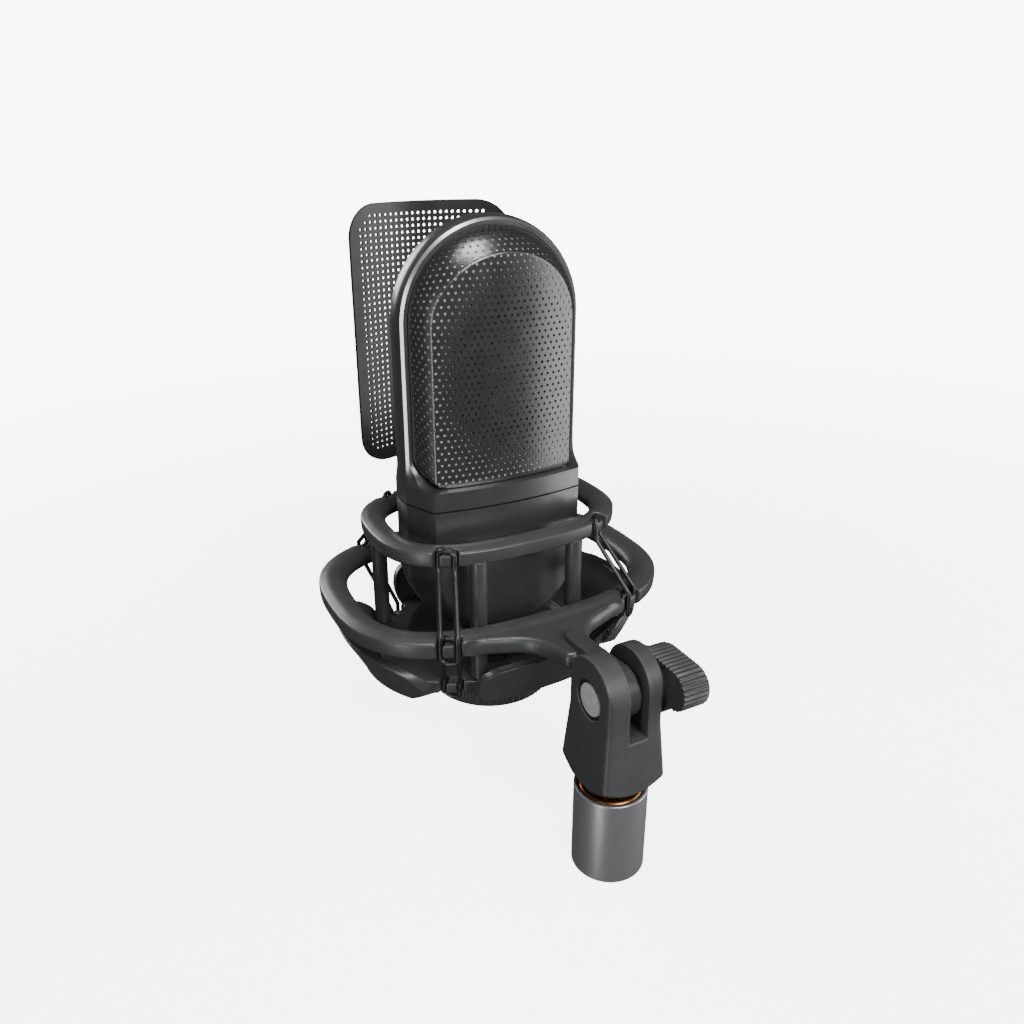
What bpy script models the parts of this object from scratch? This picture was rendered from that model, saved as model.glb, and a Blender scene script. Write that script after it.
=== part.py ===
"""Side-address condenser microphone in an elastic shock mount on a stand clevis.

World frame: the origin is on the stand tube's axis at its lower end, +Z up along the tube. The microphone's
grille faces -Y, its back faces +Y towards the stand. Most sizes are given from the microphone's own axis, at
the seam between head and body; MIC_AT places that point in the world.
"""
from math import acos, atan2, cos, pi, radians, sin, sqrt, tan

import bmesh
import bpy
from mathutils import Matrix, Vector

MM = 0.001
GAP = 0.3 * MM                       # clearance between separate pieces

# ---- driving dimensions ------------------------------------------------------------------------------
MIC_AT = Vector((0, -78.2, 92.0)) * MM     # seam centre of the microphone in the world

# microphone body and head
HEAD_HALF_W = 30.9 * MM              # half width of the head across its widest line
BODY_HALF_W = 30.6 * MM              # the same for the body
HEAD_ARC_Z = 55.0 * MM               # centre height of the arched top
BODY_ARC_Z = -20.5 * MM              # centre height of the rounded lower end
FACE_Y = 15.4 * MM                   # depth of the corner edge between flank and face
FACE_CROWN = 2.6 * MM                # extra depth of the crowned face at its middle
FACE_HALF_W = 25.5 * MM              # half width of the face at the corner edge
SEAM_GROOVE = 0.5 * MM
COLLAR_H = 6.1 * MM                  # solid foot of the head frame above the seam
WALL = 2.0 * MM
FRAME_HALF_D = 4.6 * MM              # half depth of the arched band
FLARE_R = 8.5 * MM                   # concave flare from band to collar
OPENING_HALF_W = 27.1 * MM
OPENING_FLOOR = 7.6 * MM
# side profiles towards the face: (depth, half width); for the head (depth, half width, half width at foot)
BODY_FLANK = ((0, BODY_HALF_W), (4.5 * MM, 30.5 * MM), (6.6 * MM, 29.6 * MM), (12.8 * MM, 27.0 * MM))
HEAD_FLANK = ((0, HEAD_HALF_W, BODY_HALF_W), (2.2 * MM, 30.7 * MM, BODY_HALF_W),
              (3.9 * MM, 30.0 * MM, 30.55 * MM), (FRAME_HALF_D, 29.2 * MM, 30.5 * MM),
              (6.6 * MM, 27.4 * MM, 29.6 * MM), (12.8 * MM, 25.2 * MM, 27.0 * MM))
WIRE_WAY_R, OPENING_CORNER = 6.0 * MM, 8.0 * MM
GRILLE_HALF_W = 27.8 * MM            # half width of the grille where it meets the band
# grille flank from the band to the crease: (depth, half width, corner radius at the foot)
GRILLE_FLANK = ((FRAME_HALF_D + GAP, GRILLE_HALF_W, 8.0 * MM), (7.6 * MM, 26.9 * MM, 7.0 * MM),
                (10.2 * MM, 25.4 * MM, 4.5 * MM))
GRILLE_CREASE, CREASE_CORNER = (12.4 * MM, 23.5 * MM), 1.5 * MM    # (depth, half width) round the face
GRILLE_CROWN = 2.4 * MM
GRILLE_T = 0.8 * MM
LINER_T = 0.6 * MM
CAPSULE_Z, CAPSULE_R, CAPSULE_HALF_D = 50.0 * MM, 17.0 * MM, 4.0 * MM
CAPSULE_SEAT_R, CAPSULE_BORE_R, CAPSULE_WEB_HALF_D = 13.6 * MM, 12.2 * MM, 2.6 * MM
DIAPHRAGM_R, BACKPLATE_R = 13.3 * MM, 11.9 * MM
SADDLE_HALF_W, SADDLE_HALF_D = 19.0 * MM, 3.0 * MM
BOARD_R, BOARD_Y = 19.0 * MM, (2.0 * MM, 3.6 * MM)
GAIN_Z, JACK_Z = -22.0 * MM, -38.0 * MM    # front control and headphone socket
GAIN_BORE_R, JACK_BORE_R = 3.2 * MM, 3.1 * MM
GAIN_KNOB_Y, GAIN_KNOB_R, GAIN_KNOB_H = -18.6 * MM, 8.4 * MM, 8.0 * MM
USB_HALF_W, USB_HALF_H, USB_DEPTH = 4.5 * MM, 1.6 * MM, 8.0 * MM

# shock mount rings, as superellipses in plan
INNER_A, INNER_B = 41.9 * MM, 30.3 * MM
INNER_TOP = -8.5 * MM
INNER_TUBE_W, INNER_TUBE_H = 8.0 * MM, 5.4 * MM
OUTER_A, OUTER_B = 56.6 * MM, 43.0 * MM
OUTER_TOP = -31.0 * MM
OUTER_TUBE_W, OUTER_TUBE_H = 9.2 * MM, 6.0 * MM
RING_POWER = 2.75
INNER_HOOK = (27.6 * MM, 26.5 * MM)
OUTER_HOOK = (33.0 * MM, 39.6 * MM)
HUB_HOOK = (26.8 * MM, 26.4 * MM)
TAB_W = 3.4 * MM
SLOT_W = 1.9 * MM
CORD_R, CORD_ARCH = 0.75 * MM, 1.6 * MM
# plan outline of the neck's left side, from the ring to the clevis
NECK_SIDE = ((28 * MM, 40.4 * MM), (18.5 * MM, 44.3 * MM), (12.5 * MM, 47 * MM), (8.8 * MM, 50.5 * MM),
             (6.5 * MM, 55.5 * MM), (5.2 * MM, 60 * MM), (2.9 * MM, 61.8 * MM))
NECK_ROOT = (20 * MM, 38.5 * MM)
NECK_BELOW, NECK_ABOVE = 5.4 * MM, 0.2 * MM    # its faces below and above the ring's top

# cradle
POST_R = 2.7 * MM
POST_BACK = (17.0 * MM, 27.4 * MM)
POST_FRONT = (32.4 * MM, -20.0 * MM)
LEDGE_TOP, LEDGE_BOTTOM = -54.0 * MM, -58.4 * MM
PETAL_TOP, PETAL_BOTTOM = -43.5 * MM, -60.0 * MM
PETAL_T = 3.4 * MM
NUT_R, NUT_TOP, NUT_BOTTOM = 21.5 * MM, -65.5 * MM, -74.0 * MM
NUT_RIBS, NUT_RIB_D = 40, 0.7 * MM
STEM_R, STEM_BORE, STEM_END = 11.0 * MM, 8.6 * MM, NUT_BOTTOM - 1.2 * MM
HUB_CORNERS = ((41 * MM, 15 * MM), (36.2 * MM, 21.4 * MM), (18 * MM, 30.4 * MM), (14 * MM, 33.6 * MM))
HUB_CONE = ((31 * MM, -57 * MM), (29 * MM, -60.5 * MM), (24 * MM, -63.5 * MM), (21 * MM, NUT_TOP + GAP))
HUB_DISH = ((31 * MM, -40 * MM), (28.5 * MM, -54 * MM), (23 * MM, -57 * MM), (16 * MM, -58.5 * MM))
# leaves: (radius of the outer face, its centre, half width), then rows of (height, lean, share of the width)
SIDE_LEAF, END_LEAF = (36 * MM, 9 * MM, 27 * MM), (120 * MM, -84.8 * MM, 22 * MM)
LEAF_ROWS = ((PETAL_BOTTOM, 0, 0.80), (PETAL_BOTTOM + 3.5 * MM, 1.5 * MM, 0.94), (-50 * MM, 5.0 * MM, 1.0),
             (-46 * MM, 7.2 * MM, 0.93), (PETAL_TOP, 8.3 * MM, 0.72))

# stand side
PIN_Y, PIN_Z = 78.2 * MM, -34.0 * MM
TUBE_R, TUBE_BORE, TUBE_TOP = 10.7 * MM, 9.8 * MM, -64.6 * MM
TUBE_EDGE = 0.4 * MM                 # chamfer on the tube's mouth
INSERT_DEPTH = 12 * MM
CLEVIS_HALF_W, CLEVIS_HALF_D = 8.8 * MM, 10.3 * MM
CLEVIS_TAPER = 1.6 * MM
CLEVIS_TOP, CLEVIS_BOTTOM = -21.3 * MM, -61.0 * MM
CLEVIS_CORNER = 1.6 * MM
CLEVIS_WAIST = PIN_Z - 6 * MM        # where the block starts to widen downwards
CLEVIS_REACH = 14 * MM               # further out than any part of the clevis
EAR_SHOULDER = 1.12                  # width under the ears, as a share of their own
CONE_R, CONE_TOP, CONE_END_R = 24 * MM, -49.6 * MM, 10.9 * MM
SLOT_X, SLOT_HALF = -0.95 * MM, 3.0 * MM
SLOT_FLOOR = -44.0 * MM
PIN_R, PIN_HEAD_R, PIN_HEAD_T = 3.0 * MM, 4.75 * MM, 1.6 * MM
PIN_RECESS_R, PIN_RECESS_D = 5.7 * MM, 2.2 * MM
PIN_IN_KNOB = 6 * MM                 # how deep the pin goes into the knob
WASHER_R = 5.6 * MM
STUD_R, STUD_H = 4.75 * MM, 14 * MM
TONGUE_R = 7.4 * MM                  # eye of the tongue round the pin
TONGUE_TIP = 52.0 * MM               # where the tongue's ridge starts on the neck
TONGUE_RISE = 2.2 * MM               # height of the ridge over the ring's top
KNOB_X0, KNOB_X1 = -11.0 * MM, -20.0 * MM
KNOB_HUB_R = 9.2 * MM
KNOB_WING_R, KNOB_WING_AT = 6.1 * MM, 10.4 * MM
KNOB_TURN = radians(16.7)            # angle of the wings about the pin
KNOB_RIBS, KNOB_RIB_H = 50, 0.25 * MM

# pop filter
POP_Y, POP_CURVE = -47.9 * MM, 9.6      # plate middle, and its bow in 1/m
POP_HALF_W, POP_TOP, POP_BOTTOM = 29.2 * MM, 86.2 * MM, -3.0 * MM
POP_CORNER, POP_T = 11.0 * MM, 0.9 * MM
POP_HINGE_Y, POP_HINGE_Z = -38.5 * MM, -11.5 * MM
POP_EYE_R, POP_PIN_R = 3.2 * MM, 1.5 * MM   # hinge eye, and the screw through it
POP_STALK_HALF_W, POP_FORK_HALF_W = 3 * MM, 6 * MM
POP_SCREW_HEAD_R, POP_SCREW_END, POP_SCREW_HEAD_AT, POP_SCREW_TOP = 3.0 * MM, 6.6 * MM, -6.3 * MM, -8.2 * MM

# ---- scene, collections, materials --------------------------------------------------------------------
for old in list(bpy.data.objects):
    bpy.data.objects.remove(old, do_unlink=True)


def new_collection(name):
    """Make a fresh collection under the scene's own one."""
    found = bpy.data.collections.get(name)
    if found:
        bpy.data.collections.remove(found)
    made = bpy.data.collections.new(name)
    bpy.context.scene.collection.children.link(made)
    return made


PARTS = new_collection("condenser_microphone")
CUTTERS = new_collection("cutters")


def material(name, colour, roughness, metallic=0.0):
    """Principled material in one colour."""
    made = bpy.data.materials.new(name)
    made.use_nodes = True
    shader = made.node_tree.nodes["Principled BSDF"]
    shader.inputs["Base Color"].default_value = (*colour, 1.0)
    shader.inputs["Roughness"].default_value = roughness
    shader.inputs["Metallic"].default_value = metallic
    made.diffuse_color = (*colour, 1.0)
    return made


GUNMETAL = material("gunmetal_satin", (0.060, 0.062, 0.065), 0.38, 0.85)
GRILLE = material("grille_steel", (0.050, 0.052, 0.055), 0.36, 0.9)
LINER = material("liner_mesh", (0.16, 0.16, 0.165), 0.7, 0.3)
PLASTIC = material("mount_plastic", (0.040, 0.041, 0.043), 0.5, 0.0)
CLEVIS_MAT = material("clevis_nylon", (0.035, 0.036, 0.038), 0.55, 0.0)
CORD = material("elastic_cord", (0.012, 0.012, 0.013), 0.8, 0.0)
STEEL = material("brushed_steel", (0.42, 0.43, 0.44), 0.35, 1.0)
TUBE_MAT = material("tube_grey", (0.14, 0.145, 0.15), 0.4, 0.7)
BRONZE = material("thread_bronze", (0.34, 0.15, 0.045), 0.35, 0.9)
BRASS = material("capsule_brass", (0.62, 0.45, 0.16), 0.3, 1.0)
GOLD = material("diaphragm_gold", (0.85, 0.62, 0.25), 0.25, 1.0)
BOARD = material("board_black", (0.010, 0.03, 0.018), 0.5, 0.0)
CONNECTOR = material("connector_steel", (0.5, 0.5, 0.51), 0.3, 1.0)
RUBBER = material("soft_black", (0.015, 0.015, 0.016), 0.8, 0.0)


# ---- building helpers -----------------------------------------------------------------------------------
def empty(name, at):
    """Parent empty on a joint's axis, given in the microphone's frame."""
    made = bpy.data.objects.new(name, None)
    made.empty_display_size = 8 * MM
    made.location = MIC_AT + Vector(at)
    PARTS.objects.link(made)
    return made


def mesh_from(bm, name):
    """Turn a bmesh into an object with outward normals."""
    bmesh.ops.recalc_face_normals(bm, faces=bm.faces)
    mesh = bpy.data.meshes.new(name)
    bm.to_mesh(mesh)
    bm.free()
    return bpy.data.objects.new(name, mesh)


def as_part(obj, mat, parent, smooth=35):
    """Link a finished piece, give it its material and hang it on its joint's empty."""
    if obj.modifiers:
        obj = applied(obj)
    obj.data.materials.clear()
    obj.data.materials.append(mat)
    obj.data.shade_smooth()
    obj.data.set_sharp_from_angle(angle=radians(smooth))
    PARTS.objects.link(obj)
    obj.parent = parent
    obj.location = MIC_AT - parent.location
    return obj


def as_cutter(obj):
    """Link a piece as a hidden wire cutter."""
    CUTTERS.objects.link(obj)
    obj.location = MIC_AT
    obj.display_type = 'WIRE'
    obj.hide_render = True
    return obj


def boolean(obj, cutter, operation='DIFFERENCE'):
    """Cut, join or intersect with another shape, by an EXACT Boolean modifier."""
    mod = obj.modifiers.new(operation.lower(), 'BOOLEAN')
    mod.operation = operation
    mod.object = as_cutter(cutter)
    mod.solver = 'EXACT'
    return mod


def applied(obj):
    """Apply the modifiers of a shape that isn't linked yet."""
    CUTTERS.objects.link(obj)
    obj.location = MIC_AT
    return evaluated(obj, obj.name)


def cylinder(name, radius, lo, hi, axis='Z', centre=(0, 0), sides=28):
    """Closed cylinder between two heights on an axis; centre holds the other two coordinates."""
    bm = bmesh.new()
    bmesh.ops.create_cone(bm, cap_ends=True, segments=sides, radius1=radius, radius2=radius,
                          depth=abs(hi - lo))
    turn = {'Z': Matrix.Identity(4), 'X': Matrix.Rotation(pi / 2, 4, 'Y'),
            'Y': Matrix.Rotation(pi / 2, 4, 'X')}
    mid = (lo + hi) / 2
    u, v = centre
    at = {'Z': (u, v, mid), 'X': (mid, u, v), 'Y': (u, mid, v)}
    bmesh.ops.transform(bm, matrix=Matrix.Translation(at[axis]) @ turn[axis], verts=bm.verts)
    return mesh_from(bm, name)


def box(name, lo, hi):
    """Closed box between two corners."""
    bm = bmesh.new()
    bmesh.ops.create_cube(bm, size=1)
    size = Vector(hi) - Vector(lo)
    bmesh.ops.scale(bm, vec=size, verts=bm.verts)
    bmesh.ops.translate(bm, vec=(Vector(hi) + Vector(lo)) / 2, verts=bm.verts)
    return mesh_from(bm, name)


def lathe(name, profile, steps=36, axis='Z', at=(0, 0, 0), closed=False):
    """Turned piece: a profile of (radius, height) points, outer side from top to bottom, spun by a Screw."""
    count = len(profile)
    edges = [(i, i + 1) for i in range(count - 1)]
    if closed:
        edges.append((count - 1, 0))
    mesh = bpy.data.meshes.new(name + "_profile")
    mesh.from_pydata([(r, 0, h) for r, h in profile], edges, [])
    obj = bpy.data.objects.new(name, mesh)
    mod = obj.modifiers.new("spin", 'SCREW')
    mod.steps = mod.render_steps = steps
    mod.use_merge_vertices = True
    mod.merge_threshold = 0.00002
    CUTTERS.objects.link(obj)
    shape = evaluated(obj, name)
    turn = {'Z': Matrix.Identity(4), 'X': Matrix.Rotation(pi / 2, 4, 'Y'),
            'Y': Matrix.Rotation(-pi / 2, 4, 'X')}
    shape.data.transform(Matrix.Translation(at) @ turn[axis])
    return shape


def evaluated(obj, name):
    """Apply an object's modifiers or curve settings: a new mesh object, with its caps welded."""
    bpy.context.view_layer.update()
    graph = bpy.context.evaluated_depsgraph_get()
    mesh = bpy.data.meshes.new_from_object(obj.evaluated_get(graph))
    bm = bmesh.new()
    bm.from_mesh(mesh)
    bmesh.ops.remove_doubles(bm, verts=bm.verts, dist=0.00001)
    bmesh.ops.recalc_face_normals(bm, faces=bm.faces)
    bm.to_mesh(mesh)
    bm.free()
    bpy.data.objects.remove(obj, do_unlink=True)
    return bpy.data.objects.new(name, mesh)


def prism(name, outline, lo, hi, axis='Z'):
    """Flat outline made thick: a filled 2D curve extruded between two heights on an axis.

    The outline's points are (x, y) for Z, (x, z) for Y and (y, z) for X.
    """
    curve = bpy.data.curves.new(name + "_outline", 'CURVE')
    curve.dimensions = '2D'
    curve.fill_mode = 'BOTH'
    curve.extrude = abs(hi - lo) / 2
    spline = curve.splines.new('POLY')
    spline.points.add(len(outline) - 1)
    spline.use_cyclic_u = True
    for point, (u, v) in zip(spline.points, outline):
        point.co = (u, v, 0, 1)
    obj = bpy.data.objects.new(name, curve)
    CUTTERS.objects.link(obj)
    shape = evaluated(obj, name)
    mid = (lo + hi) / 2
    turn = {
        'Z': Matrix.Translation((0, 0, mid)),
        'Y': Matrix.Translation((0, mid, 0)) @ Matrix.Rotation(pi / 2, 4, 'X'),
        'X': Matrix.Translation((mid, 0, 0)) @ Matrix(((0, 0, 1, 0), (1, 0, 0, 0), (0, 1, 0, 0), (0, 0, 0, 1))),
    }
    shape.data.transform(turn[axis])
    return shape


def wire(name, points, radius, cyclic=False, resolution=1):
    """Round wire along a list of points, as a curve with a bevel depth and filled caps."""
    curve = bpy.data.curves.new(name + "_path", 'CURVE')
    curve.dimensions = '3D'
    curve.bevel_depth = radius
    curve.bevel_resolution = resolution
    curve.use_fill_caps = not cyclic
    spline = curve.splines.new('POLY')
    spline.points.add(len(points) - 1)
    spline.use_cyclic_u = cyclic
    for point, co in zip(spline.points, points):
        point.co = (*co, 1)
    obj = bpy.data.objects.new(name, curve)
    CUTTERS.objects.link(obj)
    return evaluated(obj, name)


def loft(name, sections, ring=False):
    """Skin over unlike sections with equal point counts; ring joins the last section to the first."""
    bm = bmesh.new()
    rows = [[bm.verts.new(p) for p in section] for section in sections]
    count = len(rows[0])
    pairs = list(zip(rows, rows[1:]))
    if ring:
        pairs.append((rows[-1], rows[0]))
    for a, b in pairs:
        for i in range(count):
            j = (i + 1) % count
            bm.faces.new((a[i], a[j], b[j], b[i]))
    if not ring:
        bm.faces.new(rows[0])
        bm.faces.new(rows[-1])
    return mesh_from(bm, name)


def arc(centre, radius, start, end, steps):
    """Points on a circle between two angles in degrees, both ends included."""
    return [(centre[0] + radius * cos(radians(start + (end - start) * i / steps)),
             centre[1] + radius * sin(radians(start + (end - start) * i / steps))) for i in range(steps + 1)]


# ---- the microphone's form ------------------------------------------------------------------------------
def stadium(half_w, top, bottom, corner=0.0, steps=14):
    """Arched outline in X and Z with straight sides.

    top and bottom are ('arc', centre height) or ('flat', height); corner rounds a flat bottom."""
    points = []
    if top[0] == 'arc':
        points += arc((0, top[1]), half_w, 0, 180, steps)
    else:
        points += [(half_w, top[1]), (-half_w, top[1])]
    if bottom[0] == 'arc':
        points += arc((0, bottom[1]), half_w, 180, 360, steps)
    elif corner:
        points += arc((-half_w + corner, bottom[1] + corner), corner, 180, 270, 5)
        points += arc((half_w - corner, bottom[1] + corner), corner, 270, 360, 5)
    else:
        points += [(-half_w, bottom[1]), (half_w, bottom[1])]
    return points


def flank(shape, offset=0.0):
    """Half of the side profile as (depth, half width), from the side line out past the face."""
    past = FACE_CROWN + 1 * MM
    points = list(shape) + [(FACE_Y, FACE_HALF_W), (FACE_Y + past, FACE_HALF_W - past)]
    return [(y, w - offset) for y, w in points]


def flank_solid(name, shape, top, bottom, offset=0.0):
    """Solid whose outline narrows towards front and back along the flank profile."""
    half = flank(shape, offset)
    rows = [(-y, w) for y, w in reversed(half[1:])] + half
    return loft(name, [[(x, y, z) for x, z in stadium(w, top, bottom)] for y, w in rows])


def crowned_slab(name, lo, hi, edge=(FACE_Y, FACE_HALF_W), crown=FACE_CROWN, offset=0.0, steps=12):
    """Slab between crowned front and back faces, between two heights; edge is (depth, half width)."""
    half_w = HEAD_HALF_W + 2 * MM
    back = []
    for i in range(steps + 1):
        x = half_w - 2 * half_w * i / steps
        back.append((x, edge[0] + crown * (1 - (x / edge[1]) ** 2) - offset))
    front = [(-x, -y) for x, y in back]
    return prism(name, back + front, lo, hi)


def build_body(parent):
    """Lower body shell, open at the top, in one piece with the hollow threaded stem under it."""
    shell = flank_solid("body_shell", BODY_FLANK, ('flat', -SEAM_GROOVE), ('arc', BODY_ARC_Z))
    boolean(shell, crowned_slab("body_face_form", BODY_ARC_Z - HEAD_HALF_W - MM, 2 * MM), 'INTERSECT')
    boolean(shell, cylinder("stem", STEM_R, STEM_END, JACK_Z), 'UNION')
    hollow = flank_solid("body_hollow", BODY_FLANK, ('flat', 2 * MM), ('arc', BODY_ARC_Z), WALL)
    boolean(hollow, crowned_slab("hollow_form", BODY_ARC_Z - HEAD_HALF_W, 3 * MM, offset=WALL), 'INTERSECT')
    boolean(shell, applied(hollow))
    boolean(shell, cylinder("stem_bore", STEM_BORE, STEM_END - MM, JACK_Z))
    inner, outer = -FACE_Y + WALL, -FACE_Y - FACE_CROWN - MM
    boolean(shell, cylinder("gain_bore", GAIN_BORE_R, outer, inner, 'Y', (0, GAIN_Z), 24))
    boolean(shell, cylinder("jack_bore", JACK_BORE_R, outer, inner, 'Y', (0, JACK_Z), 24))
    as_part(shell, GUNMETAL, parent)


def head_outline(half_w, foot_w, steps=5):
    """Arched outline of the head in X and Z, whose sides flare to the foot's width at the collar."""
    top = COLLAR_H + FLARE_R
    shares = [i / steps for i in range(steps + 1)]
    side = [(half_w + (foot_w - half_w) * share ** 2, top - FLARE_R * share) for share in shares]
    side.append((foot_w, 0))
    return arc((0, HEAD_ARC_Z), half_w, 0, 180, 16) + [(-x, z) for x, z in side] + side[::-1]


def build_head_frame(parent):
    """Arched band with chamfered edges and the collar under it, in one piece."""
    past = FACE_CROWN + 1.4 * MM
    edge = FACE_HALF_W - past
    half = list(HEAD_FLANK) + [(FACE_Y, FACE_HALF_W, FACE_HALF_W), (FACE_Y + past, edge, edge)]
    rows = [(-y, w, foot) for y, w, foot in reversed(half[1:])] + half
    frame = loft("head_frame", [[(x, y, z) for x, z in head_outline(w, foot)] for y, w, foot in rows])
    boolean(frame, crowned_slab("head_face_form", -MM, HEAD_ARC_Z + HEAD_HALF_W + MM), 'INTERSECT')
    high = HEAD_ARC_Z + HEAD_HALF_W + 3 * MM
    deep = FACE_Y + FACE_CROWN + 3 * MM
    flare = [(deep, COLLAR_H)]
    flare += arc((FRAME_HALF_D + FLARE_R, COLLAR_H + FLARE_R), FLARE_R, 270, 180, 8)
    flare += [(FRAME_HALF_D, high), (deep, high)]
    wide = HEAD_HALF_W + 3 * MM
    boolean(frame, prism("rear_cutback", flare, -wide, wide, 'X'))
    boolean(frame, prism("front_cutback", [(-y, z) for y, z in flare], -wide, wide, 'X'))
    for sign in (1, -1):
        boolean(frame, applied(grille_cap(f"grille_seat_{sign}", sign, -GAP, 0.2 * MM)))
    opening = stadium(OPENING_HALF_W, ('arc', HEAD_ARC_Z), ('flat', OPENING_FLOOR), OPENING_CORNER)
    boolean(frame, prism("head_opening", opening, -FRAME_HALF_D - MM, FRAME_HALF_D + MM, 'Y'))
    boolean(frame, cylinder("wire_way", WIRE_WAY_R, -MM, OPENING_FLOOR + MM))
    as_part(frame, GUNMETAL, parent)


def grille_cap(name, sign, inset, mouth):
    """Closed domed cap beside the band: convex flank up to the crease, then the crowned face."""
    foot = COLLAR_H + GAP + inset
    crease_y, crease_w = GRILLE_CREASE
    past = GRILLE_CROWN + MM
    rows = ((GRILLE_FLANK[0][0] - mouth, *GRILLE_FLANK[0][1:]), *GRILLE_FLANK,
            (crease_y, crease_w, CREASE_CORNER), (crease_y + past, crease_w - past, CREASE_CORNER))
    if not mouth:
        rows = rows[1:]
    cap = loft(name, [[(x, sign * y, z) for x, z in
                       stadium(w - inset, ('arc', HEAD_ARC_Z), ('flat', foot), corner)]
                      for y, w, corner in rows])
    top = HEAD_ARC_Z + HEAD_HALF_W
    boolean(cap, crowned_slab(name + "_face", -MM, top, GRILLE_CREASE, GRILLE_CROWN, inset), 'INTERSECT')
    return cap


def build_grilles(parent):
    """Rear and front grilles as plain closed shells, each with a fine liner behind it."""
    for side, sign in (("rear", 1), ("front", -1)):
        for part, inset, thick, mat in (("grille", 0.0, GRILLE_T, GRILLE),
                                        ("liner", GRILLE_T + GAP, LINER_T, LINER)):
            name = side + "_" + part
            shell = grille_cap(name, sign, inset, 0.0)
            boolean(shell, applied(grille_cap(name + "_hollow", sign, inset + thick, 2 * MM)))
            as_part(shell, mat, parent)


def build_capsule(parent):
    """Large-diaphragm capsule, facing front, on its saddle above the collar."""
    z = CAPSULE_Z
    web, deep = CAPSULE_WEB_HALF_D, CAPSULE_HALF_D
    profile = [(CAPSULE_R, deep), (CAPSULE_R, -deep), (CAPSULE_SEAT_R, -deep), (CAPSULE_SEAT_R, -web),
               (CAPSULE_BORE_R, -web), (CAPSULE_BORE_R, web), (CAPSULE_SEAT_R, web), (CAPSULE_SEAT_R, deep)]
    ring = lathe("capsule_ring", profile, 32, 'Y', (0, 0, z), closed=True)
    as_part(ring, BRASS, parent)
    for side, sign in (("front", -1), ("rear", 1)):
        inner, outer = sign * (web + GAP), sign * (web + GAP + 0.6 * MM)
        disc = cylinder(side + "_diaphragm", DIAPHRAGM_R, inner, outer, 'Y', (0, z))
        as_part(disc, GOLD, parent)
    plate = web - 2 * GAP
    as_part(cylinder("capsule_backplate", BACKPLATE_R, -plate, plate, 'Y', (0, z)), BRASS, parent)
    foot = OPENING_FLOOR + GAP
    half, depth, plate = SADDLE_HALF_W, SADDLE_HALF_D, 2 * MM
    cradle = [(-half, foot + plate + GAP), (half, foot + plate + GAP), (half + MM, z + 2 * MM)]
    cradle += arc((0, z), CAPSULE_R + 0.4 * MM, 6, -186, 18)
    cradle += [(-half - MM, z + 2 * MM)]
    saddle = prism("capsule_saddle", cradle, -depth, depth, 'Y')
    for x in (-8 * MM, 8 * MM):
        boolean(saddle, box("saddle_window", (x - 5 * MM, -depth - MM, foot + 5 * MM),
                            (x + 5 * MM, depth + MM, z - CAPSULE_R - 4 * MM)))
    as_part(saddle, RUBBER, parent)
    base = box("saddle_foot", (-half, -FRAME_HALF_D + GAP, foot), (half, FRAME_HALF_D - GAP, foot + plate))
    boolean(base, cylinder("foot_wire_hole", 2.5 * MM, foot - MM, foot + plate + MM, sides=16))
    as_part(base, RUBBER, parent)


def build_electronics(parent):
    """Board, control shaft and sockets inside the lower body."""
    board = [(BOARD_R, -3 * MM), (BOARD_R, BODY_ARC_Z)]
    board += arc((0, BODY_ARC_Z), BOARD_R, -10, -170, 10)
    board += [(-BOARD_R, -3 * MM)]
    as_part(prism("main_board", board, *BOARD_Y, 'Y'), BOARD, parent)
    pot, pot_front, pot_back = 5 * MM, -6.5 * MM, BOARD_Y[0] - GAP
    gain_pot = box("gain_pot", (-pot, pot_front, GAIN_Z - pot), (pot, pot_back, GAIN_Z + pot))
    as_part(gain_pot, CONNECTOR, parent)
    shaft = cylinder("gain_shaft", GAIN_BORE_R - 2 * GAP, GAIN_KNOB_Y - 2 * GAP, pot_front - GAP, 'Y',
                     (0, GAIN_Z), 20)
    as_part(shaft, STEEL, parent)
    barrel, bore, length = JACK_BORE_R - GAP, 1.75 * MM, 9 * MM
    profile = [(0, length), (barrel, length), (barrel, -length), (bore, -length), (bore, length - 2 * MM),
               (0, length - 2 * MM)]
    as_part(lathe("phones_jack", profile, 20, 'Y', (0, -length - GAP, JACK_Z)), CONNECTOR, parent)
    low = STEM_END + 2 * GAP
    plate = cylinder("usb_plate", STEM_BORE - GAP, low, low + 2.4 * MM, sides=32)
    boolean(plate, box("usb_window", (-USB_HALF_W - GAP, -USB_HALF_H - GAP, low - MM),
                       (USB_HALF_W + GAP, USB_HALF_H + GAP, low + 4 * MM)))
    as_part(plate, RUBBER, parent)
    wall = 0.4 * MM
    socket = box("usb_socket", (-USB_HALF_W, -USB_HALF_H, low + 0.2 * MM),
                 (USB_HALF_W, USB_HALF_H, low + USB_DEPTH))
    boolean(socket, box("usb_mouth", (-USB_HALF_W + wall, -USB_HALF_H + wall, low - MM),
                        (USB_HALF_W - wall, USB_HALF_H - wall, low + USB_DEPTH - 1.5 * MM)))
    as_part(socket, CONNECTOR, parent)


def build_gain_knob(parent):
    """Turned control knob on the front face, with an index notch."""
    r, high, bevel, seat = GAIN_KNOB_R, GAIN_KNOB_H, 0.8 * MM, 1.2 * MM
    knob = lathe("gain_knob", [(0, high), (r - 1.2 * MM, high), (r - 0.4 * MM, high - bevel), (r, 0),
                               (GAIN_BORE_R, 0), (GAIN_BORE_R, seat), (0, seat)])
    knob.data.transform(Matrix.Translation((0, GAIN_KNOB_Y, GAIN_Z)) @ Matrix.Rotation(pi / 2, 4, 'X'))
    front = GAIN_KNOB_Y - high
    boolean(knob, box("index_notch", (-0.5 * MM, front - MM, GAIN_Z + 3 * MM),
                      (0.5 * MM, front + 0.5 * MM, GAIN_Z + 9 * MM)))
    as_part(knob, GUNMETAL, parent)


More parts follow.
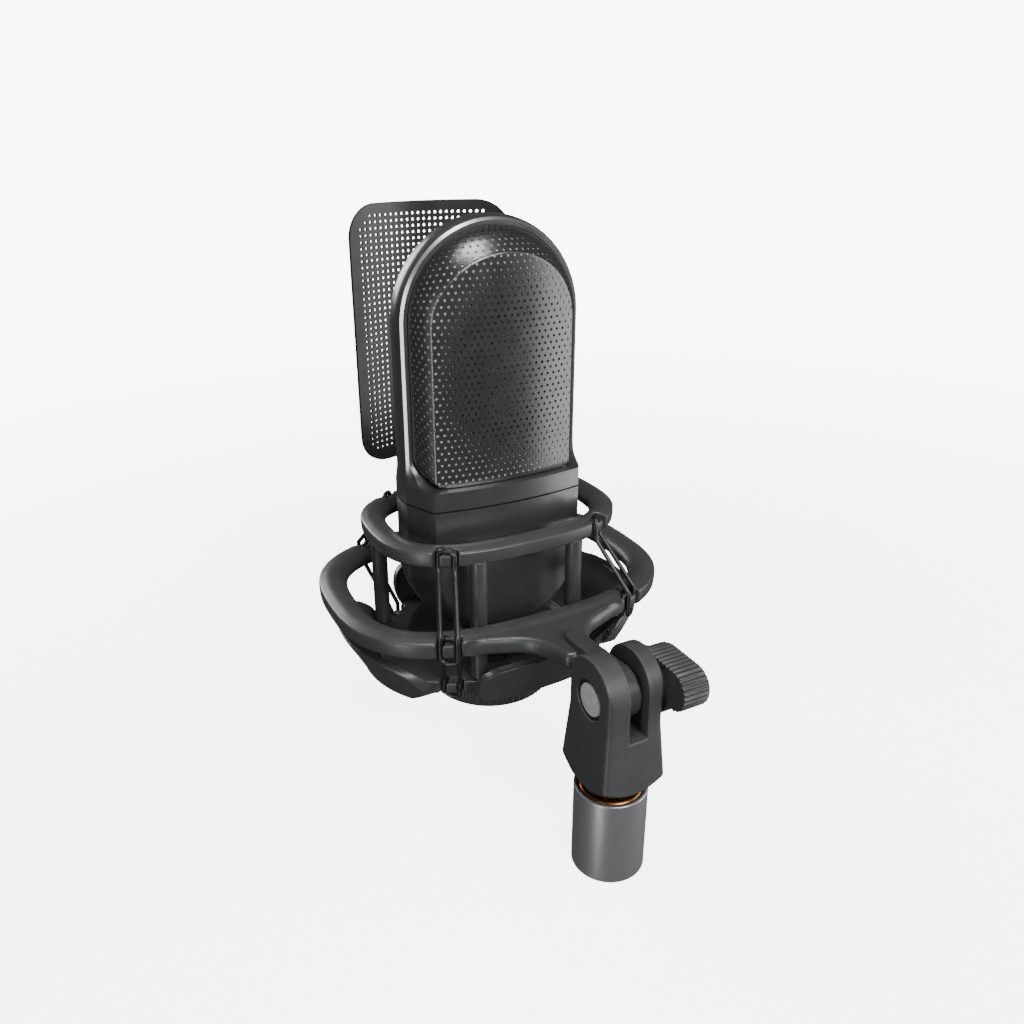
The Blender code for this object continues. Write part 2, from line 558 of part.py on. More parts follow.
# ---- shock mount ------------------------------------------------------------------------------------------
def oval(a, b, angle):
    """Point of the ring's plan outline, a superellipse, at an angle parameter."""
    c, s = cos(angle), sin(angle)
    x = a * abs(c) ** (2 / RING_POWER) * (1 if c >= 0 else -1)
    y = b * abs(s) ** (2 / RING_POWER) * (1 if s >= 0 else -1)
    return Vector((x, y))


def ring_loft(name, a, b, top, width, height, steps=52):
    """Oval ring: a crisp outer shoulder, an upright outer face, domed top and round inner side."""
    section = [(0, -0.35 * MM), (0, -0.82 * height), (-0.14 * width, -height), (-0.78 * width, -height),
               (-width, -0.65 * height), (-0.95 * width, -0.2 * height), (-0.7 * width, 0.07 * height),
               (-0.35 * width, 0.12 * height)]
    rows = []
    for i in range(steps):
        t = 2 * pi * i / steps
        here, after, before = oval(a, b, t), oval(a, b, t + 0.02), oval(a, b, t - 0.02)
        along = (after - before).normalized()
        out = Vector((along.y, -along.x))
        rows.append([(*(here + out * u), top + v) for u, v in section])
    return loft(name, rows, ring=True)


def at_corner(shape, hook, top, signs):
    """Move a shape drawn at +X around to a ring corner, turned outwards along the diagonal."""
    sx, sy = signs
    angle = atan2(hook[1] * sy, hook[0] * sx)
    place = Matrix.Translation((hook[0] * sx, hook[1] * sy, top))
    shape.data.transform(place @ Matrix.Rotation(angle, 4, 'Z'))
    return shape


CORNERS = (("a", (1, 1)), ("b", (-1, 1)), ("c", (-1, -1)), ("d", (1, -1)))


def cut_cord_slots(ring, hook, top, height, name, depth=3.4 * MM):
    """Two upright slots per corner, which leave a tab between them."""
    for key, signs in CORNERS:
        for side in (-1, 1):
            y = side * (TAB_W + SLOT_W) / 2
            slot = box(f"{name}_slot_{key}{side}", (-depth, y - SLOT_W / 2, -height * 1.4),
                       (3 * MM, y + SLOT_W / 2, height * 0.5))
            boolean(ring, at_corner(slot, hook, top, signs))
        half = (TAB_W + SLOT_W) / 2
        crest = box(f"{name}_crest_{key}", (-depth + 0.2 * MM, -half, -MM), (3.2 * MM, half, height * 0.4))
        boolean(ring, at_corner(crest, hook, top, signs))


def build_inner_ring(parent):
    """Upper ring of the cage."""
    ring = ring_loft("inner_ring", INNER_A, INNER_B, INNER_TOP, INNER_TUBE_W, INNER_TUBE_H)
    cut_cord_slots(ring, INNER_HOOK, INNER_TOP, INNER_TUBE_H, "inner")
    as_part(ring, PLASTIC, parent)


def build_outer_ring(parent):
    """Lower ring with the neck and tongue that sit in the clevis."""
    ring = ring_loft("outer_ring", OUTER_A, OUTER_B, OUTER_TOP, OUTER_TUBE_W, OUTER_TUBE_H)
    cut_cord_slots(ring, OUTER_HOOK, OUTER_TOP, OUTER_TUBE_H, "outer", 4.4 * MM)
    neck = list(NECK_SIDE) + [(-x, y) for x, y in reversed(NECK_SIDE)]
    neck += [(-NECK_ROOT[0], NECK_ROOT[1]), NECK_ROOT]
    boolean(ring, prism("neck", neck, OUTER_TOP - NECK_BELOW, OUTER_TOP + NECK_ABOVE), 'UNION')
    half = SLOT_HALF - GAP
    low = OUTER_TOP - NECK_BELOW
    side = arc((PIN_Y, PIN_Z), TONGUE_R, -110, 110, 11)
    side += [(TONGUE_TIP + half, OUTER_TOP + TONGUE_RISE), (TONGUE_TIP, OUTER_TOP + TONGUE_RISE - 0.5 * MM),
             (TONGUE_TIP, low + 0.4 * MM), (66 * MM, low - 1.6 * MM)]
    boolean(ring, prism("tongue", side, SLOT_X - half, SLOT_X + half, 'X'), 'UNION')
    bore = cylinder("tongue_bore", PIN_R + GAP, -CLEVIS_REACH, CLEVIS_REACH, 'X', (PIN_Y, PIN_Z), 24)
    boolean(ring, bore)
    as_part(ring, PLASTIC, parent)


def build_posts(parent):
    """Four posts between the upper ring and the cradle."""
    feet = [(sx * x, y) for x, y in (POST_BACK, POST_FRONT) for sx in (1, -1)]
    for key, (x, y) in zip(("back_left", "back_right", "front_left", "front_right"), feet):
        top = INNER_TOP - INNER_TUBE_H - GAP
        post = cylinder("post_" + key, POST_R, LEDGE_TOP + GAP, top, 'Z', (x, y), 24)
        as_part(post, PLASTIC, parent)


def petal(name, centre_r, centre, half, axis):
    """Curved leaf that rises and leans outwards; drawn towards +X or +Y."""
    rows = []
    steps = 10
    for z, lean, share in LEAF_ROWS:
        across = [half * share * (2 * i / steps - 1) for i in range(steps + 1)]
        loop = []
        for r, order in ((centre_r + lean, 1), (centre_r + lean - PETAL_T, -1)):
            loop += [(centre + sqrt(r * r - t * t), t) for t in across[::order]]
        rows.append([(t, u, z) if axis == 'Y' else (u, t, z) for u, t in loop])
    return loft(name, rows)


def build_cradle(parent):
    """Cradle that carries the microphone: a dished octagonal floor with four leaves around it."""
    outline = list(HUB_CORNERS) + [(-x, y) for x, y in reversed(HUB_CORNERS)]
    outline += [(-x, -y) for x, y in HUB_CORNERS] + [(x, -y) for x, y in reversed(HUB_CORNERS)]
    hub = prism("cradle_hub", outline, LEDGE_BOTTOM, LEDGE_TOP)
    cone = lathe("hub_cone", [(0, HUB_CONE[0][1]), *HUB_CONE, (0, HUB_CONE[-1][1])])
    boolean(hub, cone, 'UNION')
    for key, turn, form, axis in (("left", 0, SIDE_LEAF, 'X'), ("right", pi, SIDE_LEAF, 'X'),
                                  ("back", 0, END_LEAF, 'Y'), ("front", pi, END_LEAF, 'Y')):
        leaf = petal("leaf_" + key, *form, axis)
        leaf.data.transform(Matrix.Rotation(turn, 4, 'Z'))
        boolean(hub, leaf, 'UNION')
    boolean(hub, lathe("hub_dish", [(0, HUB_DISH[0][1]), *HUB_DISH, (0, HUB_DISH[-1][1])]))
    boolean(hub, cylinder("stem_hole", STEM_R + GAP, NUT_BOTTOM, LEDGE_TOP + MM))
    cut_cord_slots(hub, HUB_HOOK, LEDGE_TOP, LEDGE_TOP - LEDGE_BOTTOM, "hub")
    as_part(hub, PLASTIC, parent)


def build_lock_ring(parent):
    """Ribbed locking ring, threaded on the stem under the cradle."""
    outline = []
    for i in range(NUT_RIBS * 2):
        r = NUT_R if i % 2 == 0 else NUT_R - NUT_RIB_D
        outline.append((r * cos(pi * i / NUT_RIBS), r * sin(pi * i / NUT_RIBS)))
    ring = prism("lock_ring", outline, NUT_BOTTOM, NUT_TOP)
    boolean(ring, cylinder("lock_bore", STEM_R + GAP, NUT_BOTTOM - MM, NUT_TOP + MM))
    as_part(ring, PLASTIC, parent)


def cord_point(hook, signs, inward, side, height):
    """Point beside a corner tab: inward from its outer face, to one side, at a height."""
    out = Vector((hook[0] * signs[0], hook[1] * signs[1]))
    reach = out.normalized() * (out.length - inward)
    across = Vector((-out.y, out.x)).normalized() * side * signs[0] * signs[1]
    return (*(reach + across), height)


def cord_loop(name, legs, parent):
    """Elastic loop round two tabs: legs lists (hook, inward, height) from the upper tab to the lower one."""
    for key, signs in CORNERS:
        half = (TAB_W + SLOT_W) / 2
        points = []
        for (hook, inward, height), start in ((legs[0], 0), (legs[-1], pi)):
            for i in range(5):
                t = start + pi * i / 4
                points.append(cord_point(hook, signs, inward, half * cos(t), height + CORD_ARCH * sin(t)))
            run = legs[1:-1] if start == 0 else legs[-2:0:-1]
            side = -half if start == 0 else half
            points += [cord_point(h, signs, i, side, z) for h, i, z in run]
        as_part(wire(f"{name}_{key}", points, CORD_R, cyclic=True), CORD, parent)


def build_cords(parent):
    """Eight elastic loops: upper ring to lower ring, and lower ring to cradle."""
    low = OUTER_TOP - OUTER_TUBE_H
    upper = ((INNER_HOOK, 1.3 * MM, INNER_TOP - 1.2 * MM),
             (INNER_HOOK, 0.9 * MM, INNER_TOP - INNER_TUBE_H - 0.6 * MM),
             (OUTER_HOOK, 1.2 * MM, OUTER_TOP + 1.2 * MM), (OUTER_HOOK, 1.2 * MM, OUTER_TOP - 1.5 * MM),
             (OUTER_HOOK, 1.2 * MM, low + 0.2 * MM))
    lower = ((OUTER_HOOK, 3.0 * MM, OUTER_TOP - 1.2 * MM), (OUTER_HOOK, 3.0 * MM, low - 0.6 * MM),
             (HUB_HOOK, 1.2 * MM, LEDGE_TOP + 1.0 * MM), (HUB_HOOK, 1.2 * MM, LEDGE_TOP - 0.6 * MM),
             (HUB_HOOK, 1.2 * MM, LEDGE_BOTTOM + 0.2 * MM))
    cord_loop("upper_cord", upper, parent)
    cord_loop("lower_cord", lower, parent)


# ---- pop filter -----------------------------------------------------------------------------------------
def build_pop_filter(parent):
    """Bowed plate with rounded corners and its short stalk."""
    mid = (POP_TOP + POP_BOTTOM) / 2
    w, h, r = POP_HALF_W, (POP_TOP - POP_BOTTOM) / 2, POP_CORNER
    rows = []
    steps = 24
    for i in range(steps + 1):
        x = -w + 2 * w * i / steps
        edge = max(0.0, abs(x) - (w - r))
        half = h - r + sqrt(max(r * r - edge * edge, (0.08 * r) ** 2))
        y = POP_Y + POP_CURVE * x * x
        low, high = mid - half, mid + half
        rows.append([(x, y, low), (x, y, high), (x, y - POP_T, high), (x, y - POP_T, low)])
    plate = loft("pop_filter_screen", rows)
    as_part(plate, GRILLE, parent)
    hinge = (POP_HINGE_Y, POP_HINGE_Z)
    side = [(POP_HINGE_Y - 3 * MM, POP_HINGE_Z - MM)] + arc(hinge, POP_EYE_R, 250, 430, 8)
    side += [(POP_Y + 4.2 * MM, POP_BOTTOM + MM), (POP_Y + 3.0 * MM, POP_BOTTOM + 9 * MM),
             (POP_Y + GAP, POP_BOTTOM + 11 * MM), (POP_Y + GAP, POP_BOTTOM + 0.5 * MM)]
    half = POP_STALK_HALF_W
    lug = prism("pop_filter_stalk", side, -half, half, 'X')
    boolean(lug, cylinder("stalk_bore", POP_PIN_R + GAP, -half - MM, half + MM, 'X', hinge, 20))
    as_part(lug, PLASTIC, parent)


def build_pop_bracket(parent):
    """Fork on the upper ring's front flat that carries the pop filter's hinge."""
    hinge = (POP_HINGE_Y, POP_HINGE_Z)
    root = -INNER_B - GAP
    fork = [(root, INNER_TOP - 0.6 * MM), (root, INNER_TOP - 5.0 * MM),
            (POP_HINGE_Y + MM, POP_HINGE_Z - 3.1 * MM)]
    fork += arc(hinge, POP_EYE_R, 290, 90, 8)
    half, gap = POP_FORK_HALF_W, POP_STALK_HALF_W + GAP
    bracket = prism("pop_filter_bracket", fork, -half, half, 'X')
    boolean(bracket, box("fork_gap", (-gap, POP_HINGE_Y - 2 * POP_EYE_R, POP_HINGE_Z - 4 * POP_EYE_R),
                         (gap, POP_HINGE_Y + POP_EYE_R + 0.4 * MM, POP_HINGE_Z + 4 * POP_EYE_R)))
    boolean(bracket, cylinder("fork_bore", POP_PIN_R + GAP, -half - MM, half + MM, 'X', hinge, 20))
    as_part(bracket, PLASTIC, parent)
    shank, head = POP_PIN_R, POP_SCREW_HEAD_R
    end, seat, top = POP_SCREW_END, POP_SCREW_HEAD_AT, POP_SCREW_TOP
    profile = [(0, end), (shank, end), (shank, seat), (head, seat), (head, top), (0, top)]
    screw = lathe("pop_filter_screw", profile, 24)
    screw.data.transform(Matrix.Translation((0, *hinge)) @ Matrix.Rotation(pi / 2, 4, 'Y'))
    as_part(screw, STEEL, parent)


# ---- stand side -----------------------------------------------------------------------------------------
def build_stand(parent):
    """Upper end of the stand tube and the bronze thread insert in it."""
    y = PIN_Y
    foot = -MIC_AT.z
    profile = [(TUBE_R, TUBE_TOP - TUBE_EDGE), (TUBE_R, foot), (TUBE_BORE, foot), (TUBE_BORE, TUBE_TOP),
               (TUBE_R - TUBE_EDGE, TUBE_TOP)]
    tube = lathe("stand_tube", profile, at=(0, y, 0), closed=True)
    as_part(tube, TUBE_MAT, parent)
    r = TUBE_BORE - GAP
    top, end = CLEVIS_BOTTOM + STUD_H, TUBE_TOP - INSERT_DEPTH
    insert = lathe("thread_insert", [(0, top), (STUD_R, top), (STUD_R, TUBE_TOP + 0.6 * MM),
                                     (r - 2.2 * MM, TUBE_TOP + 0.2 * MM), (r - 1.2 * MM, TUBE_TOP - 0.7 * MM),
                                     (r, TUBE_TOP - 0.9 * MM), (r, end), (0, end)], at=(0, y, 0))
    as_part(insert, BRONZE, parent)


def clevis_section(grow, z):
    """Rectangular section of the clevis with small round corners, wider by a taper."""
    a, b, r = CLEVIS_HALF_W + grow, CLEVIS_HALF_D + grow, CLEVIS_CORNER
    loop = arc((a - r, b - r), r, 0, 90, 3) + arc((-a + r, b - r), r, 90, 180, 3)
    loop += arc((-a + r, -b + r), r, 180, 270, 3) + arc((a - r, -b + r), r, 270, 360, 3)
    return [(x, PIN_Y + y, z) for x, y in loop]


def build_clevis(parent):
    """Two-eared block on the stud: arched ears, slot for the tongue, conical lower end."""
    block = loft("clevis", [clevis_section(CLEVIS_TAPER, CLEVIS_BOTTOM), clevis_section(0, CLEVIS_WAIST),
                            clevis_section(0, CLEVIS_TOP)])
    far, low, pin_at = CLEVIS_REACH, CLEVIS_BOTTOM - MM, (PIN_Y, PIN_Z)
    crest = CLEVIS_TOP - CLEVIS_HALF_D
    shoulder, wide = crest - 6 * MM, CLEVIS_HALF_D * EAR_SHOULDER
    ear = [(PIN_Y + far, low), (PIN_Y + far, shoulder), (PIN_Y + wide, shoulder)]
    ear += arc((PIN_Y, crest), CLEVIS_HALF_D, 0, 180, 16)
    ear += [(PIN_Y - wide, shoulder), (PIN_Y - far, shoulder), (PIN_Y - far, low)]
    boolean(block, prism("ear_form", ear, -far, far, 'X'), 'INTERSECT')
    cone = lathe("clevis_cone", [(0, 0), (CONE_R, 0), (CONE_R, CONE_TOP), (CONE_END_R, CLEVIS_BOTTOM),
                                 (0, CLEVIS_BOTTOM)], at=(0, PIN_Y, 0))
    boolean(block, cone, 'INTERSECT')
    boolean(block, box("clevis_slot", (SLOT_X - SLOT_HALF, PIN_Y - far, SLOT_FLOOR),
                       (SLOT_X + SLOT_HALF, PIN_Y + far, 0)))
    boolean(block, cylinder("clevis_bore", PIN_R + GAP, -far, far, 'X', pin_at, 24))
    seat = CLEVIS_HALF_W - PIN_RECESS_D
    boolean(block, cylinder("pin_recess", PIN_RECESS_R, seat, far, 'X', pin_at))
    stud_end = CLEVIS_BOTTOM + STUD_H + 2 * GAP
    boolean(block, cylinder("stud_bore", STUD_R + GAP, low, stud_end, 'Z', (0, PIN_Y)))
    as_part(block, CLEVIS_MAT, parent)
    head, end = seat + GAP, KNOB_X0 - PIN_IN_KNOB
    face, edge = head + PIN_HEAD_T, 0.3 * MM
    pin = lathe("clevis_pin", [(0, face), (PIN_HEAD_R - edge, face), (PIN_HEAD_R, face - edge),
                               (PIN_HEAD_R, head), (PIN_R, head), (PIN_R, end), (0, end)], 32)
    pin.data.transform(Matrix.Translation((0, PIN_Y, PIN_Z)) @ Matrix.Rotation(pi / 2, 4, 'Y'))
    as_part(pin, STEEL, parent)
    bore, rim, left, right = PIN_R + GAP, WASHER_R, -CLEVIS_HALF_W - GAP, KNOB_X0 + GAP
    washer = lathe("knob_washer", [(rim, left), (rim, right), (bore, right), (bore, left)], 28, closed=True)
    washer.data.transform(Matrix.Translation((0, PIN_Y, PIN_Z)) @ Matrix.Rotation(pi / 2, 4, 'Y'))
    as_part(washer, STEEL, parent)


def knob_rim(angle):
    """Distance from the knob's axis to its outline: round hub, two round wings, a straight flank on each."""
    step_in = KNOB_HUB_R - KNOB_WING_R
    flank_run = sqrt(KNOB_WING_AT ** 2 - step_in ** 2)
    rim = KNOB_HUB_R
    for wing in (KNOB_TURN, KNOB_TURN + pi):
        ahead = KNOB_WING_AT * cos(angle - wing)
        across = KNOB_WING_AT * sin(angle - wing)
        if ahead > 0 and abs(across) < KNOB_WING_R:
            rim = max(rim, ahead + sqrt(KNOB_WING_R ** 2 - across ** 2))
        lean = wing + acos(step_in / KNOB_WING_AT) - angle
        if cos(lean) > 0 and 0 < KNOB_HUB_R * tan(lean) < flank_run:
            rim = max(rim, KNOB_HUB_R / cos(lean))
    return rim


def build_knob(parent):
    """Two-winged knob with fine ribs all round, on the clevis pin."""
    outline = []
    for i in range(2 * KNOB_RIBS):
        t = pi * i / KNOB_RIBS
        r = knob_rim(t) + KNOB_RIB_H * (1 if i % 2 else -1)
        outline.append((PIN_Y + r * cos(t), PIN_Z + r * sin(t)))
    knob = prism("tilt_knob", outline, KNOB_X1, KNOB_X0, 'X')
    deep = KNOB_X0 - PIN_IN_KNOB - MM
    boolean(knob, cylinder("knob_bore", PIN_R + GAP, deep, KNOB_X0 + MM, 'X', (PIN_Y, PIN_Z), 24))
    as_part(knob, CLEVIS_MAT, parent)


# ---- assembly -------------------------------------------------------------------------------------------
stand = empty("stand_foot", (0, PIN_Y, -MIC_AT.z))
swivel = empty("clevis_swivel", (0, PIN_Y, CLEVIS_BOTTOM))
knob_axis = empty("knob_axis", (KNOB_X0, PIN_Y, PIN_Z))
tilt = empty("tilt_pivot", (SLOT_X, PIN_Y, PIN_Z))
cage = empty("cage_centre", (0, 0, OUTER_TOP))
lock_axis = empty("lock_axis", (0, 0, NUT_TOP))
gain_axis = empty("gain_axis", (0, GAIN_KNOB_Y, GAIN_Z))
pop_axis = empty("pop_hinge", (0, POP_HINGE_Y, POP_HINGE_Z))

build_stand(stand)
build_clevis(swivel)
build_knob(knob_axis)
build_outer_ring(tilt)
build_inner_ring(cage)
build_posts(cage)
build_cradle(cage)
build_cords(cage)
build_body(cage)
build_head_frame(cage)
build_grilles(cage)
build_capsule(cage)
build_electronics(cage)
build_pop_bracket(cage)
build_lock_ring(lock_axis)
build_gain_knob(gain_axis)
build_pop_filter(pop_axis)
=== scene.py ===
"""Looks of a side-address condenser microphone in its elastic shock mount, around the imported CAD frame.

Shapes are drawn in the microphone's own frame: its axis is x = y = 0 and its seam z = 0, with +Y towards the
stand, and are then put in place by MIC, which comes from the frame.
"""
from math import acos, atan2, cos, hypot, pi, radians, sin, sqrt, tan

import bmesh
import bpy
from mathutils import Matrix, Vector
from mathutils.geometry import delaunay_2d_cdt


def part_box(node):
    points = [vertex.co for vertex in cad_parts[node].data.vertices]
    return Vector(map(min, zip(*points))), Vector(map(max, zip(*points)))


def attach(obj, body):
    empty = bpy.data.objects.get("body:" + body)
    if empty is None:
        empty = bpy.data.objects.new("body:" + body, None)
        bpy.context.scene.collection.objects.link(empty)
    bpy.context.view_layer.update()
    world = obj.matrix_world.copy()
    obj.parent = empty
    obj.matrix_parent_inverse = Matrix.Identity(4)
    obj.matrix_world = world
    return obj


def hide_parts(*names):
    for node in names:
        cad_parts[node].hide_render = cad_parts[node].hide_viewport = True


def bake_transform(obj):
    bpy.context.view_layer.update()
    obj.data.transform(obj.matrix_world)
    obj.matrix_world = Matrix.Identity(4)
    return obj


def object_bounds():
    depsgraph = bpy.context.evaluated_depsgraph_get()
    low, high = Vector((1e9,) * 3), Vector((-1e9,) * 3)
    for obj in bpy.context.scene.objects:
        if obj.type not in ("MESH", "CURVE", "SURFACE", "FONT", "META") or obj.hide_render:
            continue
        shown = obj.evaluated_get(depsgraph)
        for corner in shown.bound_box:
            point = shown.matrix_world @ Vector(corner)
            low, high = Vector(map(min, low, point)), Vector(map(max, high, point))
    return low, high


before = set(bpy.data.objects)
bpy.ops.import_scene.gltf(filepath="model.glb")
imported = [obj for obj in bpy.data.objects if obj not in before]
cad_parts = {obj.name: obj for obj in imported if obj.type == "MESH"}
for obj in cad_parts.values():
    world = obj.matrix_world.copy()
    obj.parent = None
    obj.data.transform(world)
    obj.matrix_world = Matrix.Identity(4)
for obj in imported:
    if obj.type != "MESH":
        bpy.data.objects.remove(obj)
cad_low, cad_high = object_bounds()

MM = 0.001
GAP = 0.3 * MM


def mm(*numbers):
    """Numbers of millimetres, in metres."""
    return tuple(number * MM for number in numbers)


# ---- driving dimensions, as in the CAD part ------------------------------
HEAD_HALF_W, BODY_HALF_W = mm(30.9, 30.6)
HEAD_ARC_Z, BODY_ARC_Z = mm(55.0, -20.5)
FACE_Y, FACE_CROWN, FACE_HALF_W = mm(15.4, 2.6, 25.5)
SEAM_GROOVE, COLLAR_H, WALL = mm(0.5, 6.1, 2.0)
FRAME_HALF_D, FLARE_R = mm(4.6, 8.5)
OPENING_HALF_W, OPENING_FLOOR = mm(27.1, 7.6)
GRILLE_FOOT = COLLAR_H + GAP
CREASE_Y, CREASE_W, CREASE_CORNER = mm(12.4, 23.5, 1.5)
GRILLE_CROWN = 2.4 * MM
GRILLE_ROWS = (mm(4.9, 27.8, 8.0), mm(7.6, 26.9, 7.0), mm(10.2, 25.4, 4.5),
               (CREASE_Y, CREASE_W, CREASE_CORNER))
GAIN_Z, JACK_Z = mm(-22.0, -38.0)

INNER_A, INNER_B, INNER_TOP = mm(41.9, 30.3, -8.5)
INNER_TUBE_W, INNER_TUBE_H = mm(8.0, 5.4)
OUTER_A, OUTER_B, OUTER_TOP = mm(56.6, 43.0, -31.0)
OUTER_TUBE_W, OUTER_TUBE_H = mm(9.2, 6.0)
RING_POWER = 2.75
INNER_HOOK, OUTER_HOOK = mm(27.6, 26.5), mm(33.0, 39.6)
HUB_HOOK = mm(26.8, 26.4)
TAB_W, SLOT_W = mm(3.4, 1.9)
CORD_R, CORD_ARCH = mm(0.75, 1.6)
POST_R = 2.7 * MM
POST_BACK, POST_FRONT = mm(17.0, 27.4), mm(32.4, -20.0)
LEDGE_TOP, LEDGE_BOTTOM = mm(-54.0, -58.4)
SIDE_LEAF, END_LEAF = mm(36, 9, 27), mm(120, -84.8, 22)      # radius, centre from the axis, half width
LEAF_T = 3.4 * MM
NUT_R, NUT_TOP, NUT_BOTTOM = mm(21.5, -65.5, -74.0)
STEM_R, STEM_BORE = mm(11.0, 8.6)

PIN_Y, PIN_Z = PIN_AT = mm(78.2, -34.0)
TUBE_R, TUBE_BORE, TUBE_TOP = mm(10.7, 9.8, -64.6)
CLEVIS_HALF_W, CLEVIS_HALF_D, CLEVIS_TAPER = mm(8.8, 10.3, 1.6)
CLEVIS_TOP, CLEVIS_BOTTOM = mm(-21.3, -61.0)
SLOT_X, SLOT_HALF, SLOT_FLOOR = mm(-0.95, 3.0, -44.0)
PIN_R, PIN_HEAD_R, PIN_RECESS_R, PIN_RECESS = mm(3.0, 4.75, 5.7, 2.2)
STUD_R, TONGUE_R, TONGUE_TIP, TONGUE_RISE = mm(4.75, 7.4, 52.0, 2.2)
KNOB_X0, KNOB_X1 = mm(-11.0, -20.0)
KNOB_HUB_R, KNOB_WING_R, KNOB_WING_AT = mm(9.2, 6.1, 10.4)
KNOB_TURN = radians(16.7)

POP_Y, POP_CURVE, POP_T = -47.9 * MM, 9.6, 0.9 * MM
POP_HALF_W, POP_TOP, POP_BOTTOM, POP_CORNER = mm(29.2, 86.2, -3.0, 11.0)

# ---- fine detail that only the looks have ------------------------------
SHEET_T = 0.32 * MM                  # thickness of the perforated grille sheet
HOLE_R, HOLE_PITCH, HOLE_ROW = mm(0.45, 2.16, 1.92)
SHOULDER = 0.5 * MM                  # half width of the softened edge between the grille's flank and face
SHOULDER_WEIGHTS = (1, 2, 3, 4, 3, 2, 1)
LINER_DEPTH, LINER_T = mm(0.36, 0.25)
CUT_DEPTH = 3.95 * MM                # the bright chamfer lies outside this depth
CUT_SLANT = (0.58, 0.82)             # how far its faces lean to the front or back
STEM_PITCH, INSERT_PITCH = mm(1.1, 1.0)
POP_HOLE_R, POP_PITCH = mm(0.52, 2.05)
POP_COLUMNS, POP_ROWS, POP_FIRST_Z = 25, 40, 2.3 * MM
KNOB_RIBS, NUT_RIBS = 52, 60

body_low, body_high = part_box("body_shell")
MIC = Vector(((body_low.x + body_high.x) / 2, (body_low.y + body_high.y) / 2, body_high.z + SEAM_GROOVE))
SCENE = bpy.context.scene


# ---- materials ------------------------------
class Finish:
    """Principled material with its own grain, clouding of tone and roughness, all from procedural nodes."""

    def __init__(self, name, colour, roughness, metallic=0.0):
        self.material = bpy.data.materials.new(name)
        self.material.use_nodes = True
        self.nodes = self.material.node_tree.nodes
        self.links = self.material.node_tree.links
        self.shader = self.nodes["Principled BSDF"]
        self.colour = colour
        self.roughness = roughness
        for socket, value in (("Base Color", (*colour, 1)), ("Roughness", roughness), ("Metallic", metallic),
                              ("Specular IOR Level", 0.5), ("Coat Weight", 0.0)):
            self.shader.inputs[socket].default_value = value
        self.place = self.nodes.new("ShaderNodeTexCoord").outputs["Object"]

    def node(self, kind, source, entry, **numbers):
        """New node with its numbers set and one entry fed by a source."""
        made = self.nodes.new("ShaderNode" + kind)
        for socket, number in numbers.items():
            made.inputs[socket.replace("_", " ")].default_value = number
        self.links.new(source, made.inputs[entry])
        return made

    def mapped(self, stretch=(1, 1, 1), offset=(0, 0, 0)):
        """Object coordinates, moved and then stretched."""
        shift = [-o * s for o, s in zip(offset, stretch)]
        return self.node("Mapping", self.place, "Vector", Location=shift, Scale=stretch).outputs["Vector"]

    def noise(self, size, detail=3.0, stretch=(1, 1, 1)):
        """Noise whose features are about that size, in metres."""
        made = self.node("TexNoise", self.mapped(stretch), "Vector", Scale=1 / size, Detail=detail)
        return made.outputs["Fac"]

    def rings(self, size, offset, axis):
        """Turned rings about an axis through a point."""
        wave = self.node("TexWave", self.mapped(offset=offset), "Vector", Scale=1 / size, Distortion=1.5)
        wave.wave_type = 'RINGS'
        wave.rings_direction = axis
        return wave.outputs["Fac"]

    def ranged(self, value, low, high):
        """Stretch a 0.3 to 0.7 noise over a range."""
        return self.node("MapRange", value, "Value", From_Min=0.3, From_Max=0.7, To_Min=low,
                         To_Max=high).outputs["Result"]

    def cloud(self, value, spread):
        """Vary the tone by a share of the colour, along a noise."""
        ramp = self.node("ValToRGB", value, "Fac")
        for element, place, share in zip(ramp.color_ramp.elements, (0.3, 0.7), (1 - spread, 1 + spread)):
            element.position = place
            element.color = (*[c * share for c in self.colour], 1)
        self.links.new(ramp.outputs["Color"], self.shader.inputs["Base Color"])

    def gloss(self, value, spread):
        """Vary the roughness about its mean, along a noise."""
        self.links.new(self.ranged(value, self.roughness - spread, self.roughness + spread),
                       self.shader.inputs["Roughness"])

    def bump(self, value, depth, strength):
        """Add relief of a depth in metres."""
        made = self.node("Bump", value, "Height", Distance=depth, Strength=strength)
        self.links.new(made.outputs["Normal"], self.shader.inputs["Normal"])


def moulded(name, colour, roughness, grain, depth):
    """Moulded plastic: fine spark-eroded grain, faint flow clouding."""
    made = Finish(name, colour, roughness)
    made.cloud(made.noise(9 * MM), 0.10)
    made.gloss(made.noise(2.5 * MM, 4), 0.05)
    made.bump(made.noise(grain, 2), depth, 0.5)
    return made.material


def painted_metal(name, colour, roughness, metallic, fleck):
    """Satin metallic lacquer: broad tone drift, metal flecks, slight orange peel."""
    made = Finish(name, colour, roughness, metallic)
    made.cloud(made.noise(0.5 * MM, 3), fleck)
    made.gloss(made.noise(7 * MM, 3), 0.03)
    made.bump(made.noise(1.6 * MM, 1), 0.002 * MM, 0.25)
    return made.material


def brushed(name, colour, roughness, stretch, metallic=1.0, strength=0.5):
    """Metal with fine straight brushing, from noise stretched along the lay."""
    made = Finish(name, colour, roughness, metallic)
    lay = made.noise(0.25 * MM, 3, stretch)
    made.cloud(lay, 0.24 * strength)
    made.gloss(lay, 0.10 * strength)
    made.bump(lay, 0.006 * MM, strength)
    return made.material


def turned(name, colour, roughness, centre, axis, metallic=1.0):
    """Lathe-turned metal with fine rings."""
    made = Finish(name, colour, roughness, metallic)
    made.cloud(made.noise(1.5 * MM), 0.10)
    made.gloss(made.noise(1.2 * MM), 0.05)
    made.bump(made.rings(1.6 * MM, centre, axis), 0.006 * MM, 0.6)
    return made.material


